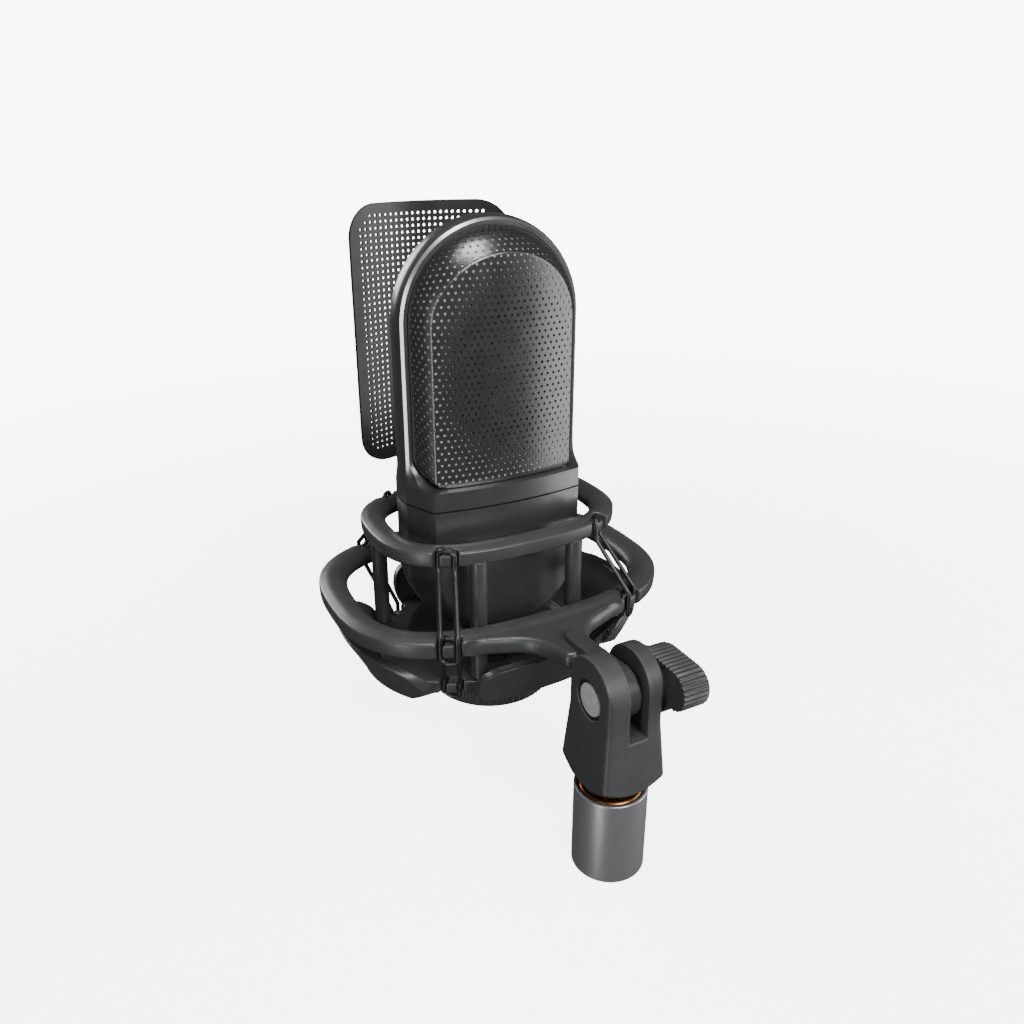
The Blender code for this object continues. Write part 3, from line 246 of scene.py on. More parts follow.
def woven(name, colour):
    """Fine woven wire cloth behind the grille."""
    made = Finish(name, colour, 0.7, 0.15)
    weave = made.node("TexBrick", made.mapped(), "Vector", Scale=1 / (0.5 * MM), Mortar_Size=0.05)
    made.cloud(made.noise(0.4 * MM), 0.15)
    made.bump(weave.outputs["Fac"], 0.02 * MM, 0.4)
    return made.material


def sleeved(name, colour):
    """Smooth rubber cord with a faint twill of its woven sleeve."""
    made = Finish(name, colour, 0.34)
    made.cloud(made.noise(1.5 * MM), 0.15)
    made.gloss(made.noise(2.0 * MM), 0.04)
    made.bump(made.noise(1.2 * MM, 1, (1, 1, 0.3)), 0.002 * MM, 0.3)
    return made.material


GUNMETAL = painted_metal("gunmetal_lacquer", (0.135, 0.137, 0.140), 0.30, 0.85, 0.05)
CHAMFER = brushed("cut_chamfer", (0.66, 0.665, 0.67), 0.32, (1, 1, 0.1), strength=0.2)
GRILLE = painted_metal("grille_lacquer", (0.105, 0.107, 0.110), 0.27, 0.85, 0.05)
SCREEN = painted_metal("screen_lacquer", (0.024, 0.0245, 0.0255), 0.30, 0.40, 0.08)
LINER = woven("liner_weave", (0.42, 0.42, 0.43))
PLASTIC = moulded("mount_moulding", (0.040, 0.041, 0.042), 0.36, 0.40 * MM, 0.008 * MM)
NYLON = moulded("clevis_moulding", (0.040, 0.041, 0.042), 0.48, 0.45 * MM, 0.014 * MM)
CORD = sleeved("cord_sleeve", (0.012, 0.012, 0.013))
STEEL = turned("turned_steel", (0.50, 0.505, 0.51), 0.5, MIC + Vector((0, *PIN_AT)), 'X', 0.3)
TUBE = brushed("tube_lacquer", (0.36, 0.365, 0.37), 0.36, (1, 1, 0.03), 0.8, 0.15)
BRONZE = turned("bronze_turned", (0.30, 0.135, 0.040), 0.30, MIC + Vector((0, PIN_Y, 0)), 'Z')
BRASS = brushed("capsule_brass_brushed", (0.62, 0.45, 0.16), 0.28, (1, 0.2, 1))
GOLD = turned("diaphragm_gold_film", (0.85, 0.62, 0.25), 0.22, MIC + Vector((0, 0, 50 * MM)), 'Y')
RUBBER = moulded("soft_black_rubber", (0.016, 0.016, 0.017), 0.75, 0.3 * MM, 0.02 * MM)
BOARD = moulded("board_lacquer", (0.010, 0.03, 0.018), 0.4, 0.6 * MM, 0.01 * MM)
CONNECTOR = brushed("connector_nickel", (0.5, 0.5, 0.51), 0.3, (0.2, 1, 1))

FOR_SLOT = {"gunmetal_satin": GUNMETAL, "grille_steel": GRILLE, "liner_mesh": LINER, "mount_plastic": PLASTIC,
            "clevis_nylon": NYLON, "elastic_cord": CORD, "brushed_steel": STEEL, "tube_grey": TUBE,
            "thread_bronze": BRONZE, "capsule_brass": BRASS, "diaphragm_gold": GOLD, "soft_black": RUBBER,
            "board_black": BOARD, "connector_steel": CONNECTOR}


# ---- mesh helpers ------------------------------
def from_bmesh(bm, name):
    """Object from a bmesh, with its faces turned outwards."""
    bmesh.ops.recalc_face_normals(bm, faces=bm.faces)
    mesh = bpy.data.meshes.new(name)
    bm.to_mesh(mesh)
    bm.free()
    obj = bpy.data.objects.new(name, mesh)
    SCENE.collection.objects.link(obj)
    return obj


def applied(obj):
    """Apply an object's modifiers."""
    bpy.context.view_layer.update()
    graph = bpy.context.evaluated_depsgraph_get()
    mesh = bpy.data.meshes.new_from_object(obj.evaluated_get(graph))
    obj.modifiers.clear()
    obj.data = mesh


def modify(obj, kind, **settings):
    """Add a modifier, which applied() then settles."""
    mod = obj.modifiers.new(kind, kind)
    for key, value in settings.items():
        setattr(mod, key, value)


def combined(obj, others, operation):
    """Cut, join or intersect with other closed shapes, which are used up."""
    for other in others:
        modify(obj, 'BOOLEAN', operation=operation, object=other, solver='EXACT')
    applied(obj)
    for other in others:
        bpy.data.objects.remove(other, do_unlink=True)
    return obj


def gathered(obj, others):
    """Put other closed shapes that overlap this one into its mesh, to be made one by softened()."""
    bm = bmesh.new()
    for each in [obj, *others]:
        bm.from_mesh(each.data)
    bm.to_mesh(obj.data)
    bm.free()
    for other in others:
        bpy.data.objects.remove(other, do_unlink=True)


def softened(obj, voxel, passes):
    """Even skin over a shape, with every edge and corner rounded a little."""
    modify(obj, 'REMESH', mode='VOXEL', voxel_size=voxel)
    modify(obj, 'SMOOTH', factor=0.5, iterations=passes)
    applied(obj)


def bevelled(obj, width):
    """Narrow bevel on every crisp edge."""
    bm = bmesh.new()
    bm.from_mesh(obj.data)
    bmesh.ops.remove_doubles(bm, verts=bm.verts, dist=0.004 * MM)
    bmesh.ops.dissolve_limit(bm, angle_limit=radians(0.6), verts=bm.verts, edges=bm.edges)
    bm.to_mesh(obj.data)
    bm.free()
    modify(obj, 'BEVEL', width=width, segments=1, limit_method='ANGLE', angle_limit=radians(18),
           use_clamp_overlap=True)
    applied(obj)


def finished(obj, body, node, slot, smooth=40, finish=None):
    """Put a piece in place, give it its slot's or its own finish and let it stand for its CAD node."""
    obj.data.transform(Matrix.Translation(MIC))
    obj.data.materials.clear()
    obj.data.materials.append(finish or FOR_SLOT[slot])
    obj.data.shade_smooth()
    obj.data.set_sharp_from_angle(angle=radians(smooth))
    if body:
        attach(obj, body)
    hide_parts(node)


def loft(name, sections, ring=False):
    """Skin over sections with equal point counts; ring joins the last section to the first."""
    bm = bmesh.new()
    rows = [[bm.verts.new(p) for p in section] for section in sections]
    pairs = list(zip(rows, rows[1:])) + ([(rows[-1], rows[0])] if ring else [])
    for a, b in pairs:
        for i in range(len(a)):
            j = (i + 1) % len(a)
            bm.faces.new((a[i], a[j], b[j], b[i]))
    if not ring:
        bm.faces.new(rows[0])
        bm.faces.new(rows[-1])
    return from_bmesh(bm, name)


def circle(centre, radius, steps):
    """Points evenly round a circle."""
    return [(centre[0] + radius * cos(2 * pi * i / steps), centre[1] + radius * sin(2 * pi * i / steps))
            for i in range(steps)]


def lathe(name, profile, steps=96, axis='Z', at=(0, 0, 0), closed=False):
    """Turned piece on X or Z from (radius, height) points; an open profile starts and ends on the axis."""
    bm = bmesh.new()
    rows = [[bm.verts.new((x, y, h)) for x, y in circle((0, 0), r, steps if r else 1)] for r, h in profile]
    pairs = list(zip(rows, rows[1:])) + ([(rows[-1], rows[0])] if closed else [])
    for a, b in pairs:
        for i in range(steps):
            j = (i + 1) % steps
            corners = [a[i], a[j], b[j], b[i]] if len(a) > 1 and len(b) > 1 else (
                [a[0], b[j], b[i]] if len(a) == 1 else [a[i], a[j], b[0]])
            bm.faces.new(corners)
    obj = from_bmesh(bm, name)
    turn = Matrix.Rotation(pi / 2, 4, 'Y') if axis == 'X' else Matrix.Identity(4)
    obj.data.transform(Matrix.Translation(at) @ turn)
    return obj


def prism(name, outline, lo, hi, axis='Z'):
    """Outline made thick between two heights. Points are (x, y) for Z, (x, z) for Y and (y, z) for X."""
    def spot(u, v, height):
        return {'Z': (u, v, height), 'Y': (u, height, v), 'X': (height, u, v)}[axis]

    return loft(name, [[spot(u, v, height) for u, v in outline] for height in (lo, hi)])


def box(name, lo, hi):
    """Closed box between two corners."""
    return prism(name, [(lo[0], lo[1]), (hi[0], lo[1]), (hi[0], hi[1]), (lo[0], hi[1])], lo[2], hi[2])


def cylinder(name, radius, lo, hi, axis='Z', centre=(0, 0), sides=64):
    """Closed cylinder between two heights on an axis."""
    return prism(name, circle(centre, radius, sides), lo, hi, axis)


def arc(centre, radius, start, end, steps):
    """Points on a circle between two angles in degrees, both ends included."""
    return [(centre[0] + radius * cos(radians(start + (end - start) * i / steps)),
             centre[1] + radius * sin(radians(start + (end - start) * i / steps))) for i in range(steps + 1)]


def spline(points, steps):
    """Smooth curve through points of any dimension, with steps spans between each two."""
    ends = [tuple(2 * a - b for a, b in zip(points[0], points[1]))] + list(points)
    ends.append(tuple(2 * a - b for a, b in zip(points[-1], points[-2])))
    curve = []
    for k in range(1, len(ends) - 2):
        for i in range(steps):
            t = i / steps
            curve.append(tuple(0.5 * (2 * b + (c - a) * t + (2 * a - 5 * b + 4 * c - d) * t * t
                                      + (3 * b - a - 3 * c + d) * t ** 3)
                               for a, b, c, d in zip(*ends[k - 1:k + 3])))
    return curve + [tuple(points[-1])]


def perforated(name, outline, centres, radius, sides, guides, place, facing):
    """Sheet with round holes: a flat pattern triangulated round its holes, then placed in space."""
    points = [Vector(p) for p in outline]
    faces = [list(range(len(points)))]
    edges = []
    for line in guides:
        edges += [(len(points) + i, len(points) + i + 1) for i in range(len(line) - 1)]
        points += [Vector(p) for p in line]
    for u, v in centres:
        faces.append(list(range(len(points), len(points) + sides)))
        points += [Vector(point) for point in circle((u, v), radius, sides)]
    flat, _, pieces, _, _, origins = delaunay_2d_cdt(points, edges, faces, 1, 1e-7)
    bm = bmesh.new()
    verts = [bm.verts.new(place(*p)) for p in flat]
    for corners, origin in zip(pieces, origins):
        if list(origin) == [0]:
            bm.faces.new([verts[i] for i in corners])
    bmesh.ops.delete(bm, geom=[v for v in verts if not v.link_faces], context='VERTS')
    sheet = from_bmesh(bm, name)
    if sum((p.normal * p.area for p in sheet.data.polygons), Vector()).dot(Vector(facing)) < 0:
        sheet.data.flip_normals()
    return sheet


def thickened(obj, thickness):
    """Give a sheet its thickness on the inner side."""
    modify(obj, 'SOLIDIFY', thickness=thickness, offset=-1)
    applied(obj)


# ---- the microphone's head ------------------------------
def grille_profile():
    """Flank of the grille, run on past the crease: (length from its mouth, depth, half width, corner)."""
    rows = spline(GRILLE_ROWS, 8)
    rows += [(CREASE_Y + i * MM, CREASE_W - i * MM, CREASE_CORNER) for i in (1, 2, 3, 4)]
    table = [(0.0, *rows[0])]
    for before, after in zip(rows, rows[1:]):
        table.append((table[-1][0] + hypot(after[0] - before[0], after[1] - before[1]), *after))
    return table


PROFILE = grille_profile()
FLANK_LENGTH = next(length for length, y, _, _ in PROFILE if y >= CREASE_Y - 1e-9)


def on_flank(length):
    """(depth, half width, corner radius) of the grille's flank at a length from its mouth."""
    length = min(max(length, 0), PROFILE[-1][0])
    for before, after in zip(PROFILE, PROFILE[1:]):
        if length <= after[0]:
            share = (length - before[0]) / (after[0] - before[0])
            return tuple(a + (b - a) * share for a, b in zip(before[1:], after[1:]))
    return PROFILE[-1][1:]


def face_depth(x):
    """Depth of the grille's crowned face."""
    return CREASE_Y + GRILLE_CROWN * (1 - (x / CREASE_W) ** 2)


def crease_rise(angle):
    """How far up the crown the crease climbs at an angle round the arch."""
    rise = 0.0
    for _ in range(8):
        rise = GRILLE_CROWN * (1 - ((CREASE_W - rise) * cos(angle) / CREASE_W) ** 2)
    return rise


def pattern_place(p, q):
    """(distance past the crease, how far it may go, direction outwards) of a point of the flat pattern."""
    side = 1 if p >= 0 else -1
    p = abs(p)
    corner_x, corner_z = CREASE_W - CREASE_CORNER, GRILLE_FOOT + CREASE_CORNER
    if q > HEAD_ARC_Z:
        angle = atan2(q - HEAD_ARC_Z, p)
        rise = crease_rise(angle)
        past = hypot(p, q - HEAD_ARC_Z) - (CREASE_W - rise)
        return past, FLANK_LENGTH + rise * sqrt(2), (side * cos(angle), sin(angle)), angle, "arch"
    if q < corner_z and p > corner_x:
        angle = atan2(corner_z - q, p - corner_x)
        past = hypot(p - corner_x, q - corner_z) - CREASE_CORNER
        return past, FLANK_LENGTH, (side * cos(angle), -sin(angle)), angle, "corner"
    return p - CREASE_W, FLANK_LENGTH, (side, 0.0), 0.0, "side"


def grille_raw(p, q):
    """Point of the pressed grille above a point of its flat pattern, with a sharp crease."""
    past, reach, _, angle, zone = pattern_place(p, q)
    if past <= 0:
        return Vector((p, face_depth(p), q))
    y, w, corner = on_flank(reach - past)
    side = 1 if p >= 0 else -1
    if zone == "arch":
        return Vector((side * w * cos(angle), y, HEAD_ARC_Z + w * sin(angle)))
    if zone == "corner":
        return Vector((side * (w - corner + corner * cos(angle)), y, GRILLE_FOOT + corner * (1 - sin(angle))))
    drop = (HEAD_ARC_Z - q) * (HEAD_ARC_Z - GRILLE_FOOT - corner) / (HEAD_ARC_Z - GRILLE_FOOT - CREASE_CORNER)
    return Vector((side * w, y, HEAD_ARC_Z - drop))


def grille_point(p, q):
    """Point of the pressed grille, with its shoulder softened."""
    past, reach, out, _, _ = pattern_place(p, q)
    half = max(0.0, min(SHOULDER, (reach - past)))
    if abs(past) > 2 * SHOULDER:
        return grille_raw(p, q)
    total = Vector()
    for k, weight in zip(range(-3, 4), SHOULDER_WEIGHTS):
        total += grille_raw(p + out[0] * half * k / 3, q + out[1] * half * k / 3) * weight
    return total / sum(SHOULDER_WEIGHTS)


def pattern_outline(past, inset=0.0, steps=12):
    """Half loop of the flat pattern at a distance past the crease, from the foot on +X up to the crown."""
    corner_x, corner_z = CREASE_W - CREASE_CORNER, GRILLE_FOOT + CREASE_CORNER
    points = arc((corner_x, corner_z), CREASE_CORNER + past, -88 if inset else -90, 0, steps)
    long = 3 * steps
    points += [(CREASE_W + past, corner_z + (HEAD_ARC_Z - corner_z) * i / long) for i in range(1, long)]
    for i in range(long + 1):
        angle = pi / 2 * i / long
        rise = crease_rise(angle)
        r = CREASE_W - rise + past + (rise * sqrt(2) if past >= FLANK_LENGTH - inset - 1e-9 else 0)
        points.append((r * cos(angle), HEAD_ARC_Z + r * sin(angle)))
    return points


def mirrored(half):
    """Whole loop from its +X half, which ends on the middle line."""
    return half + [(-x, z) for x, z in reversed(half[:-1])]


def hole_fits(p, q, margin):
    """True where a hole's centre is clear of the pattern's edge."""
    past, reach, _, _, zone = pattern_place(p, q)
    if past > reach - margin:
        return False
    if zone == "corner":
        return abs(p) > CREASE_W - CREASE_CORNER + margin or q > GRILLE_FOOT + margin
    return q > GRILLE_FOOT + margin


def hole_centres():
    """Staggered grid of holes over the flat pattern."""
    high = HEAD_ARC_Z + CREASE_W + FLANK_LENGTH
    centres = []
    for j in range(int((high - GRILLE_FOOT) / HOLE_ROW) + 12):      # more rows and columns than fit
        q = GRILLE_FOOT - FLANK_LENGTH + HOLE_ROW * (j + 0.4)
        for i in range(-16, 17):
            p = HOLE_PITCH * (i + 0.5 * (j % 2))
            if hole_fits(p, q, HOLE_R + 0.3 * MM):
                centres.append((p, q))
    return centres


def build_grille(side, sign, holes):
    """Pressed and perforated grille with its woven liner close behind it."""
    outline = [((i - 20) / 20 * (CREASE_W - CREASE_CORNER), GRILLE_FOOT) for i in range(40)]
    outline += mirrored(pattern_outline(FLANK_LENGTH))
    guides = []
    for past in [share * SHOULDER for share in (-1.6, -0.8, -0.3, 0.3, 0.8, 1.6)] + [*mm(2.2, 4.2, 6.4)]:
        half = [(x, z) for x, z in pattern_outline(past, SHOULDER)
                if z > GRILLE_FOOT + 0.1 * MM or x > CREASE_W - CREASE_CORNER + 0.1 * MM]
        guides.append(mirrored(half))

    def place(p, q):
        x, y, z = grille_point(p, q)
        return x, sign * y, z

    sheet = perforated(side + "_grille_sheet", outline, holes, HOLE_R, 12, guides, place, (0, sign, 0))
    thickened(sheet, SHEET_T)
    finished(sheet, "cage", side + "_grille", "grille_steel", 50)

    liner = perforated(side + "_liner_cloth", outline, [], 0, 0, guides, place, (0, sign, 0))
    modify(liner, 'DISPLACE', strength=-LINER_DEPTH, mid_level=0)
    applied(liner)
    thickened(liner, LINER_T)
    finished(liner, "cage", side + "_liner", "liner_mesh", 60)


def stadium(half_w, top, bottom, corner=0.0, steps=72):
    """Straight-sided outline in X and Z; top and bottom are ('arc', height) or ('flat', height)."""
    if top[0] == 'arc':
        points = arc((0, top[1]), half_w, 0, 180, steps)
    else:
        points = [(half_w, top[1]), (-half_w, top[1])]
    if bottom[0] == 'arc':
        return points + arc((0, bottom[1]), half_w, 180, 360, steps)
    if corner:
        return (points + arc((-half_w + corner, bottom[1] + corner), corner, 180, 270, 12)
                + arc((half_w - corner, bottom[1] + corner), corner, 270, 360, 12))
    return points + [(-half_w, bottom[1]), (half_w, bottom[1])]


def crowned_slab(name, lo, hi, inset=0.0, steps=64):
    """Slab between crowned front and back faces, between two heights."""
    half_w = HEAD_HALF_W + 2 * MM
    back = []
    for i in range(steps + 1):
        x = half_w - 2 * half_w * i / steps
        back.append((x, FACE_Y + FACE_CROWN * (1 - (x / FACE_HALF_W) ** 2) - inset))
    return prism(name, back + [(-x, -y) for x, y in back], lo, hi)


def both_sides(half):
    """Rows from front to back from the rows of the back half, the first at depth 0."""
    return [(-row[0], *row[1:]) for row in reversed(half[1:])] + list(half)


def grille_seat(name, sign):
    """Solid a little larger than the grille, which the head frame makes room for."""
    half = [(FRAME_HALF_D - GAP, *GRILLE_ROWS[0][1:])] + list(spline(GRILLE_ROWS, 3))
    half.append((CREASE_Y + 4 * MM, CREASE_W - 4 * MM, CREASE_CORNER))
    foot = GRILLE_FOOT - GAP
    sections = []
    for y, w, corner in half:
        outline = stadium(w + GAP, ('arc', HEAD_ARC_Z), ('flat', foot), corner)
        sections.append([(x, sign * y, z) for x, z in outline])
    return loft(name, sections)


def head_outline(half_w, foot_w, steps=16):
    """Arched outline whose sides flare to the foot's width at the collar."""
    top = COLLAR_H + FLARE_R
    side = [(half_w + (foot_w - half_w) * (i / steps) ** 2, top - FLARE_R * i / steps)
            for i in range(steps + 1)]
    side.append((foot_w, 0))
    return arc((0, HEAD_ARC_Z), half_w, 0, 180, 96) + [(-x, z) for x, z in side] + side[::-1]


def build_head_frame():
    """Arched band with a bright cut chamfer, flowing into the collar."""
    flank = spline(((0, 30.9 * MM, BODY_HALF_W), (2.2 * MM, 30.7 * MM, BODY_HALF_W),
                    mm(3.9, 30.0, 30.55)), 3)
    half = flank + spline(((FRAME_HALF_D, 29.2 * MM, 30.5 * MM), mm(6.6, 27.4, 29.6),
                           mm(12.8, 25.2, 27.0), (FACE_Y, FACE_HALF_W, FACE_HALF_W)), 4)
    half.append((FACE_Y + 4 * MM, FACE_HALF_W - 4 * MM, FACE_HALF_W - 4 * MM))
    band = loft("head_frame_band", [[(x, y, z) for x, z in head_outline(w, foot)]
                                    for y, w, foot in both_sides(half)])
    combined(band, [crowned_slab("face_form", -MM, HEAD_ARC_Z + HEAD_HALF_W + MM)], 'INTERSECT')
    high = HEAD_ARC_Z + HEAD_HALF_W + 3 * MM
    deep = FACE_Y + FACE_CROWN + 3 * MM
    flare = [(deep, COLLAR_H)] + arc((FRAME_HALF_D + FLARE_R, COLLAR_H + FLARE_R), FLARE_R, 270, 180, 24)
    flare += [(FRAME_HALF_D, high), (deep, high)]
    wide = HEAD_HALF_W + 3 * MM
    opening = stadium(OPENING_HALF_W, ('arc', HEAD_ARC_Z), ('flat', OPENING_FLOOR), 8 * MM)
    combined(band, [prism("rear_cutback", flare, -wide, wide, 'X'),
                    prism("front_cutback", [(-y, z) for y, z in flare], -wide, wide, 'X'),
                    grille_seat("rear_seat", 1), grille_seat("front_seat", -1),
                    prism("head_opening", opening, -FRAME_HALF_D - MM, FRAME_HALF_D + MM, 'Y'),
                    cylinder("wire_way", 6 * MM, -2 * MM, 12 * MM)], 'DIFFERENCE')
    bevelled(band, 0.14 * MM)
    finished(band, "cage", "head_frame", "gunmetal_satin", 11)
    band.data.materials.append(CHAMFER)
    for face in band.data.polygons:
        depth = abs(face.center.y - MIC.y)
        slanted = CUT_SLANT[0] < abs(face.normal.y) < CUT_SLANT[1]
        if slanted and CUT_DEPTH < depth < FRAME_HALF_D and face.center.z > MIC.z + COLLAR_H:
            face.material_index = 1


def build_body():
    """Lower body shell with crowned faces, rounded lower end and hollow threaded stem."""
    half = [(0, BODY_HALF_W)]
    half += spline((mm(4.5, 30.5), mm(6.6, 29.6), mm(12.8, 27.0), (FACE_Y, FACE_HALF_W)), 4)
    half.append((FACE_Y + 3.6 * MM, FACE_HALF_W - 3.6 * MM))

    def form(name, top, inset):
        made = loft(name, [[(x, y, z) for x, z in stadium(w - inset, ('flat', top), ('arc', BODY_ARC_Z))]
                           for y, w in both_sides(half)])
        slab = crowned_slab(name + "_faces", BODY_ARC_Z - HEAD_HALF_W - MM, 3 * MM, inset)
        return combined(made, [slab], 'INTERSECT')

    shell = form("body_casting", -SEAM_GROOVE, 0)
    top, end = -40 * MM, NUT_BOTTOM - 1.2 * MM
    profile = [(0, top), (STEM_R, top), (STEM_R, -50 * MM), (STEM_R, -60 * MM)]
    for i in range(12):
        z = -60 * MM - i * STEM_PITCH
        profile += [(STEM_R, z), (STEM_R - 0.45 * MM, z - 0.55 * MM)]
    profile += [(STEM_R, NUT_BOTTOM - 0.9 * MM), (STEM_R - 0.3 * MM, end), (0, end)]
    combined(shell, [lathe("stem", profile)], 'UNION')
    combined(shell, [form("body_hollow", 2 * MM, WALL), cylinder("stem_bore", STEM_BORE, -90 * MM, -40 * MM),
                     cylinder("gain_bore", *mm(3.2, -30, -10), 'Y', (0, GAIN_Z)),
                     cylinder("jack_bore", *mm(3.1, -30, -10), 'Y', (0, JACK_Z))], 'DIFFERENCE')
    bevelled(shell, 0.16 * MM)
    finished(shell, "cage", "body_shell", "gunmetal_satin", 11)


def build_gain_knob():
    """Turned control knob with a knurled side and an index notch."""
    profile = [mm(r, h) for r, h in ((0, 8), (5.6, 8), (6.0, 7.7), (6.9, 7.7), (7.3, 7.5), (7.8, 7.0),
                                     (8.3, 0.4), (8.0, 0), (3.2, 0), (3.2, 1.2), (0, 1.2))]
    knob = lathe("gain_knob_cap", profile, 144)
    for vert in knob.data.vertices:
        x, y, z = vert.co
        if hypot(x, y) > 7.6 * MM and 0.2 * MM < z < 7.2 * MM:
            vert.co.xy *= 1 - 0.012 * (1 + cos(atan2(y, x) * 48))
    knob.data.transform(Matrix.Translation((0, -18.6 * MM, GAIN_Z)) @ Matrix.Rotation(pi / 2, 4, 'X'))
    notch = box("notch", (-0.4 * MM, -30 * MM, GAIN_Z + 3 * MM), (0.4 * MM, -26.1 * MM, GAIN_Z + 9 * MM))
    combined(knob, [notch], 'DIFFERENCE')
    finished(knob, "gain_knob", "gain_knob", "gunmetal_satin", 30)


# ---- pop filter ------------------------------
def build_pop_filter():
    """Bowed plate with rounded corners and a square grid of round holes."""
    w, r = POP_HALF_W, POP_CORNER

    def corner(sx, sz, start):
        z = POP_TOP - r if sz > 0 else POP_BOTTOM + r
        return arc((sx * (w - r), z), r, start, start + 90, 14)

    def edge(a, b, steps):
        return [(a[0] + (b[0] - a[0]) * i / steps, a[1] + (b[1] - a[1]) * i / steps) for i in range(1, steps)]

    loops = [corner(1, 1, 0), corner(-1, 1, 90), corner(-1, -1, 180), corner(1, -1, 270)]
    outline = []
    for loop, after in zip(loops, loops[1:] + loops[:1]):
        outline += loop + edge(loop[-1], after[0], 24)
    centres = []
    for i in range(POP_COLUMNS):
        for j in range(POP_ROWS):
            x, z = (i - (POP_COLUMNS - 1) / 2) * POP_PITCH, POP_FIRST_Z + j * POP_PITCH
            off_x = abs(x) - (w - r)
            off_z = max(z - (POP_TOP - r), POP_BOTTOM + r - z)
            if off_x > 0 and off_z > 0 and hypot(off_x, off_z) > r - 3.0 * MM:
                continue
            centres.append((x, z))
    plate = perforated("pop_filter_plate", outline, centres, POP_HOLE_R, 14, [],
                       lambda x, z: (x, POP_Y + POP_CURVE * x * x, z), (0, 1, 0))
    thickened(plate, POP_T)
    finished(plate, "pop_filter", "pop_filter_screen", "grille_steel", 50, SCREEN)


# ---- shock mount ------------------------------
def oval(a, b, angle):
    """Point of a ring's plan outline, a superellipse, at an angle parameter."""
    c, s = cos(angle), sin(angle)
    return Vector((a * abs(c) ** (2 / RING_POWER) * (1 if c >= 0 else -1),
                   b * abs(s) ** (2 / RING_POWER) * (1 if s >= 0 else -1)))


def outward(before, after):
    """Direction out of an outline that runs anticlockwise, between two of its points."""
    along = (Vector(after) - Vector(before)).normalized()
    return Vector((along.y, -along.x))


def ring_body(name, a, b, top, width, height, steps=176):
    """Oval ring: crisp outer shoulder, upright outer face, domed top and round inner side."""
    shape = spline(((0, -0.40 * MM), (0.0, -0.5 * height), (-0.03 * width, -0.85 * height)), 3)
    shape += spline([(u * width, v * height) for u, v in (
        (-0.14, -0.99), (-0.46, -1), (-0.78, -0.94), (-1, -0.6), (-0.96, -0.2), (-0.7, 0.06), (-0.38, 0.12),
        (-0.06, -0.02))], 3)
    rows = []
    for i in range(steps):
        t = 2 * pi * i / steps
        out = outward(oval(a, b, t - 0.015), oval(a, b, t + 0.015))
        rows.append([(*(oval(a, b, t) + out * u), top + v) for u, v in shape])
    return loft(name, rows, ring=True)


CORNERS = (("a", (1, 1)), ("b", (-1, 1)), ("c", (-1, -1)), ("d", (1, -1)))


def at_corner(shape, hook, top, signs):
    """Move a shape drawn at +X round to a ring corner, turned outwards along the diagonal."""
    angle = atan2(hook[1] * signs[1], hook[0] * signs[0])
    shape.data.transform(Matrix.Translation((hook[0] * signs[0], hook[1] * signs[1], top))
                         @ Matrix.Rotation(angle, 4, 'Z'))
    return shape


def slot_cutters(hook, top, height, depth):
    """Cutters for the two upright cord slots at each corner and the dip over the tab between them."""
    cutters = []
    half = (TAB_W + SLOT_W) / 2
    for key, signs in CORNERS:
        shapes = [box(f"slot_{key}{side}", (-depth, side * half - SLOT_W / 2, -height * 1.4),
                      (3 * MM, side * half + SLOT_W / 2, height * 0.5)) for side in (-1, 1)]
        shapes.append(box("crest_" + key, (-depth + 0.2 * MM, -half, -1.0 * MM),
                          (3.2 * MM, half, height * 0.4)))
        cutters += [at_corner(shape, hook, top, signs) for shape in shapes]
    return cutters


def build_inner_ring():
    """Upper ring of the cage with its cord tabs."""
    ring = ring_body("inner_ring_moulding", INNER_A, INNER_B, INNER_TOP, INNER_TUBE_W, INNER_TUBE_H)
    combined(ring, slot_cutters(INNER_HOOK, INNER_TOP, INNER_TUBE_H, 3.4 * MM), 'DIFFERENCE')
    softened(ring, 0.34 * MM, 4)
    finished(ring, "cage", "inner_ring", "mount_plastic", 70)


def offset_outline(outline, inset):
    """Closed outline moved inwards by an inset."""
    count = len(outline)
    return [tuple(Vector(outline[i]) - outward(outline[i - 1], outline[(i + 1) % count]) * inset)
            for i in range(count)]


def neck_body():
    """Saddle between the ring and the clevis: a plate with round edges whose sides curve in to the tongue."""
    side = spline((mm(28, 40.4), mm(18.5, 44.3), mm(12.5, 47), mm(8.8, 50.5),
                   mm(6.5, 55.5), mm(5.2, 60), mm(2.9, 61.8)), 4)
    outline = side + [(-x, y) for x, y in reversed(side)] + [mm(-20, 38.2), mm(20, 38.2)]
    levels = ((-5.4, 1.3), (-5.0, 0.6), (-4.2, 0.1), (-3.0, 0.0), (-1.6, 0.05), (-0.8, 0.35), (-0.2, 0.9),
              (0.1, 1.7))
    return loft("neck", [[(x, y, OUTER_TOP + level * MM) for x, y in offset_outline(outline, inset * MM)]
                         for level, inset in levels])


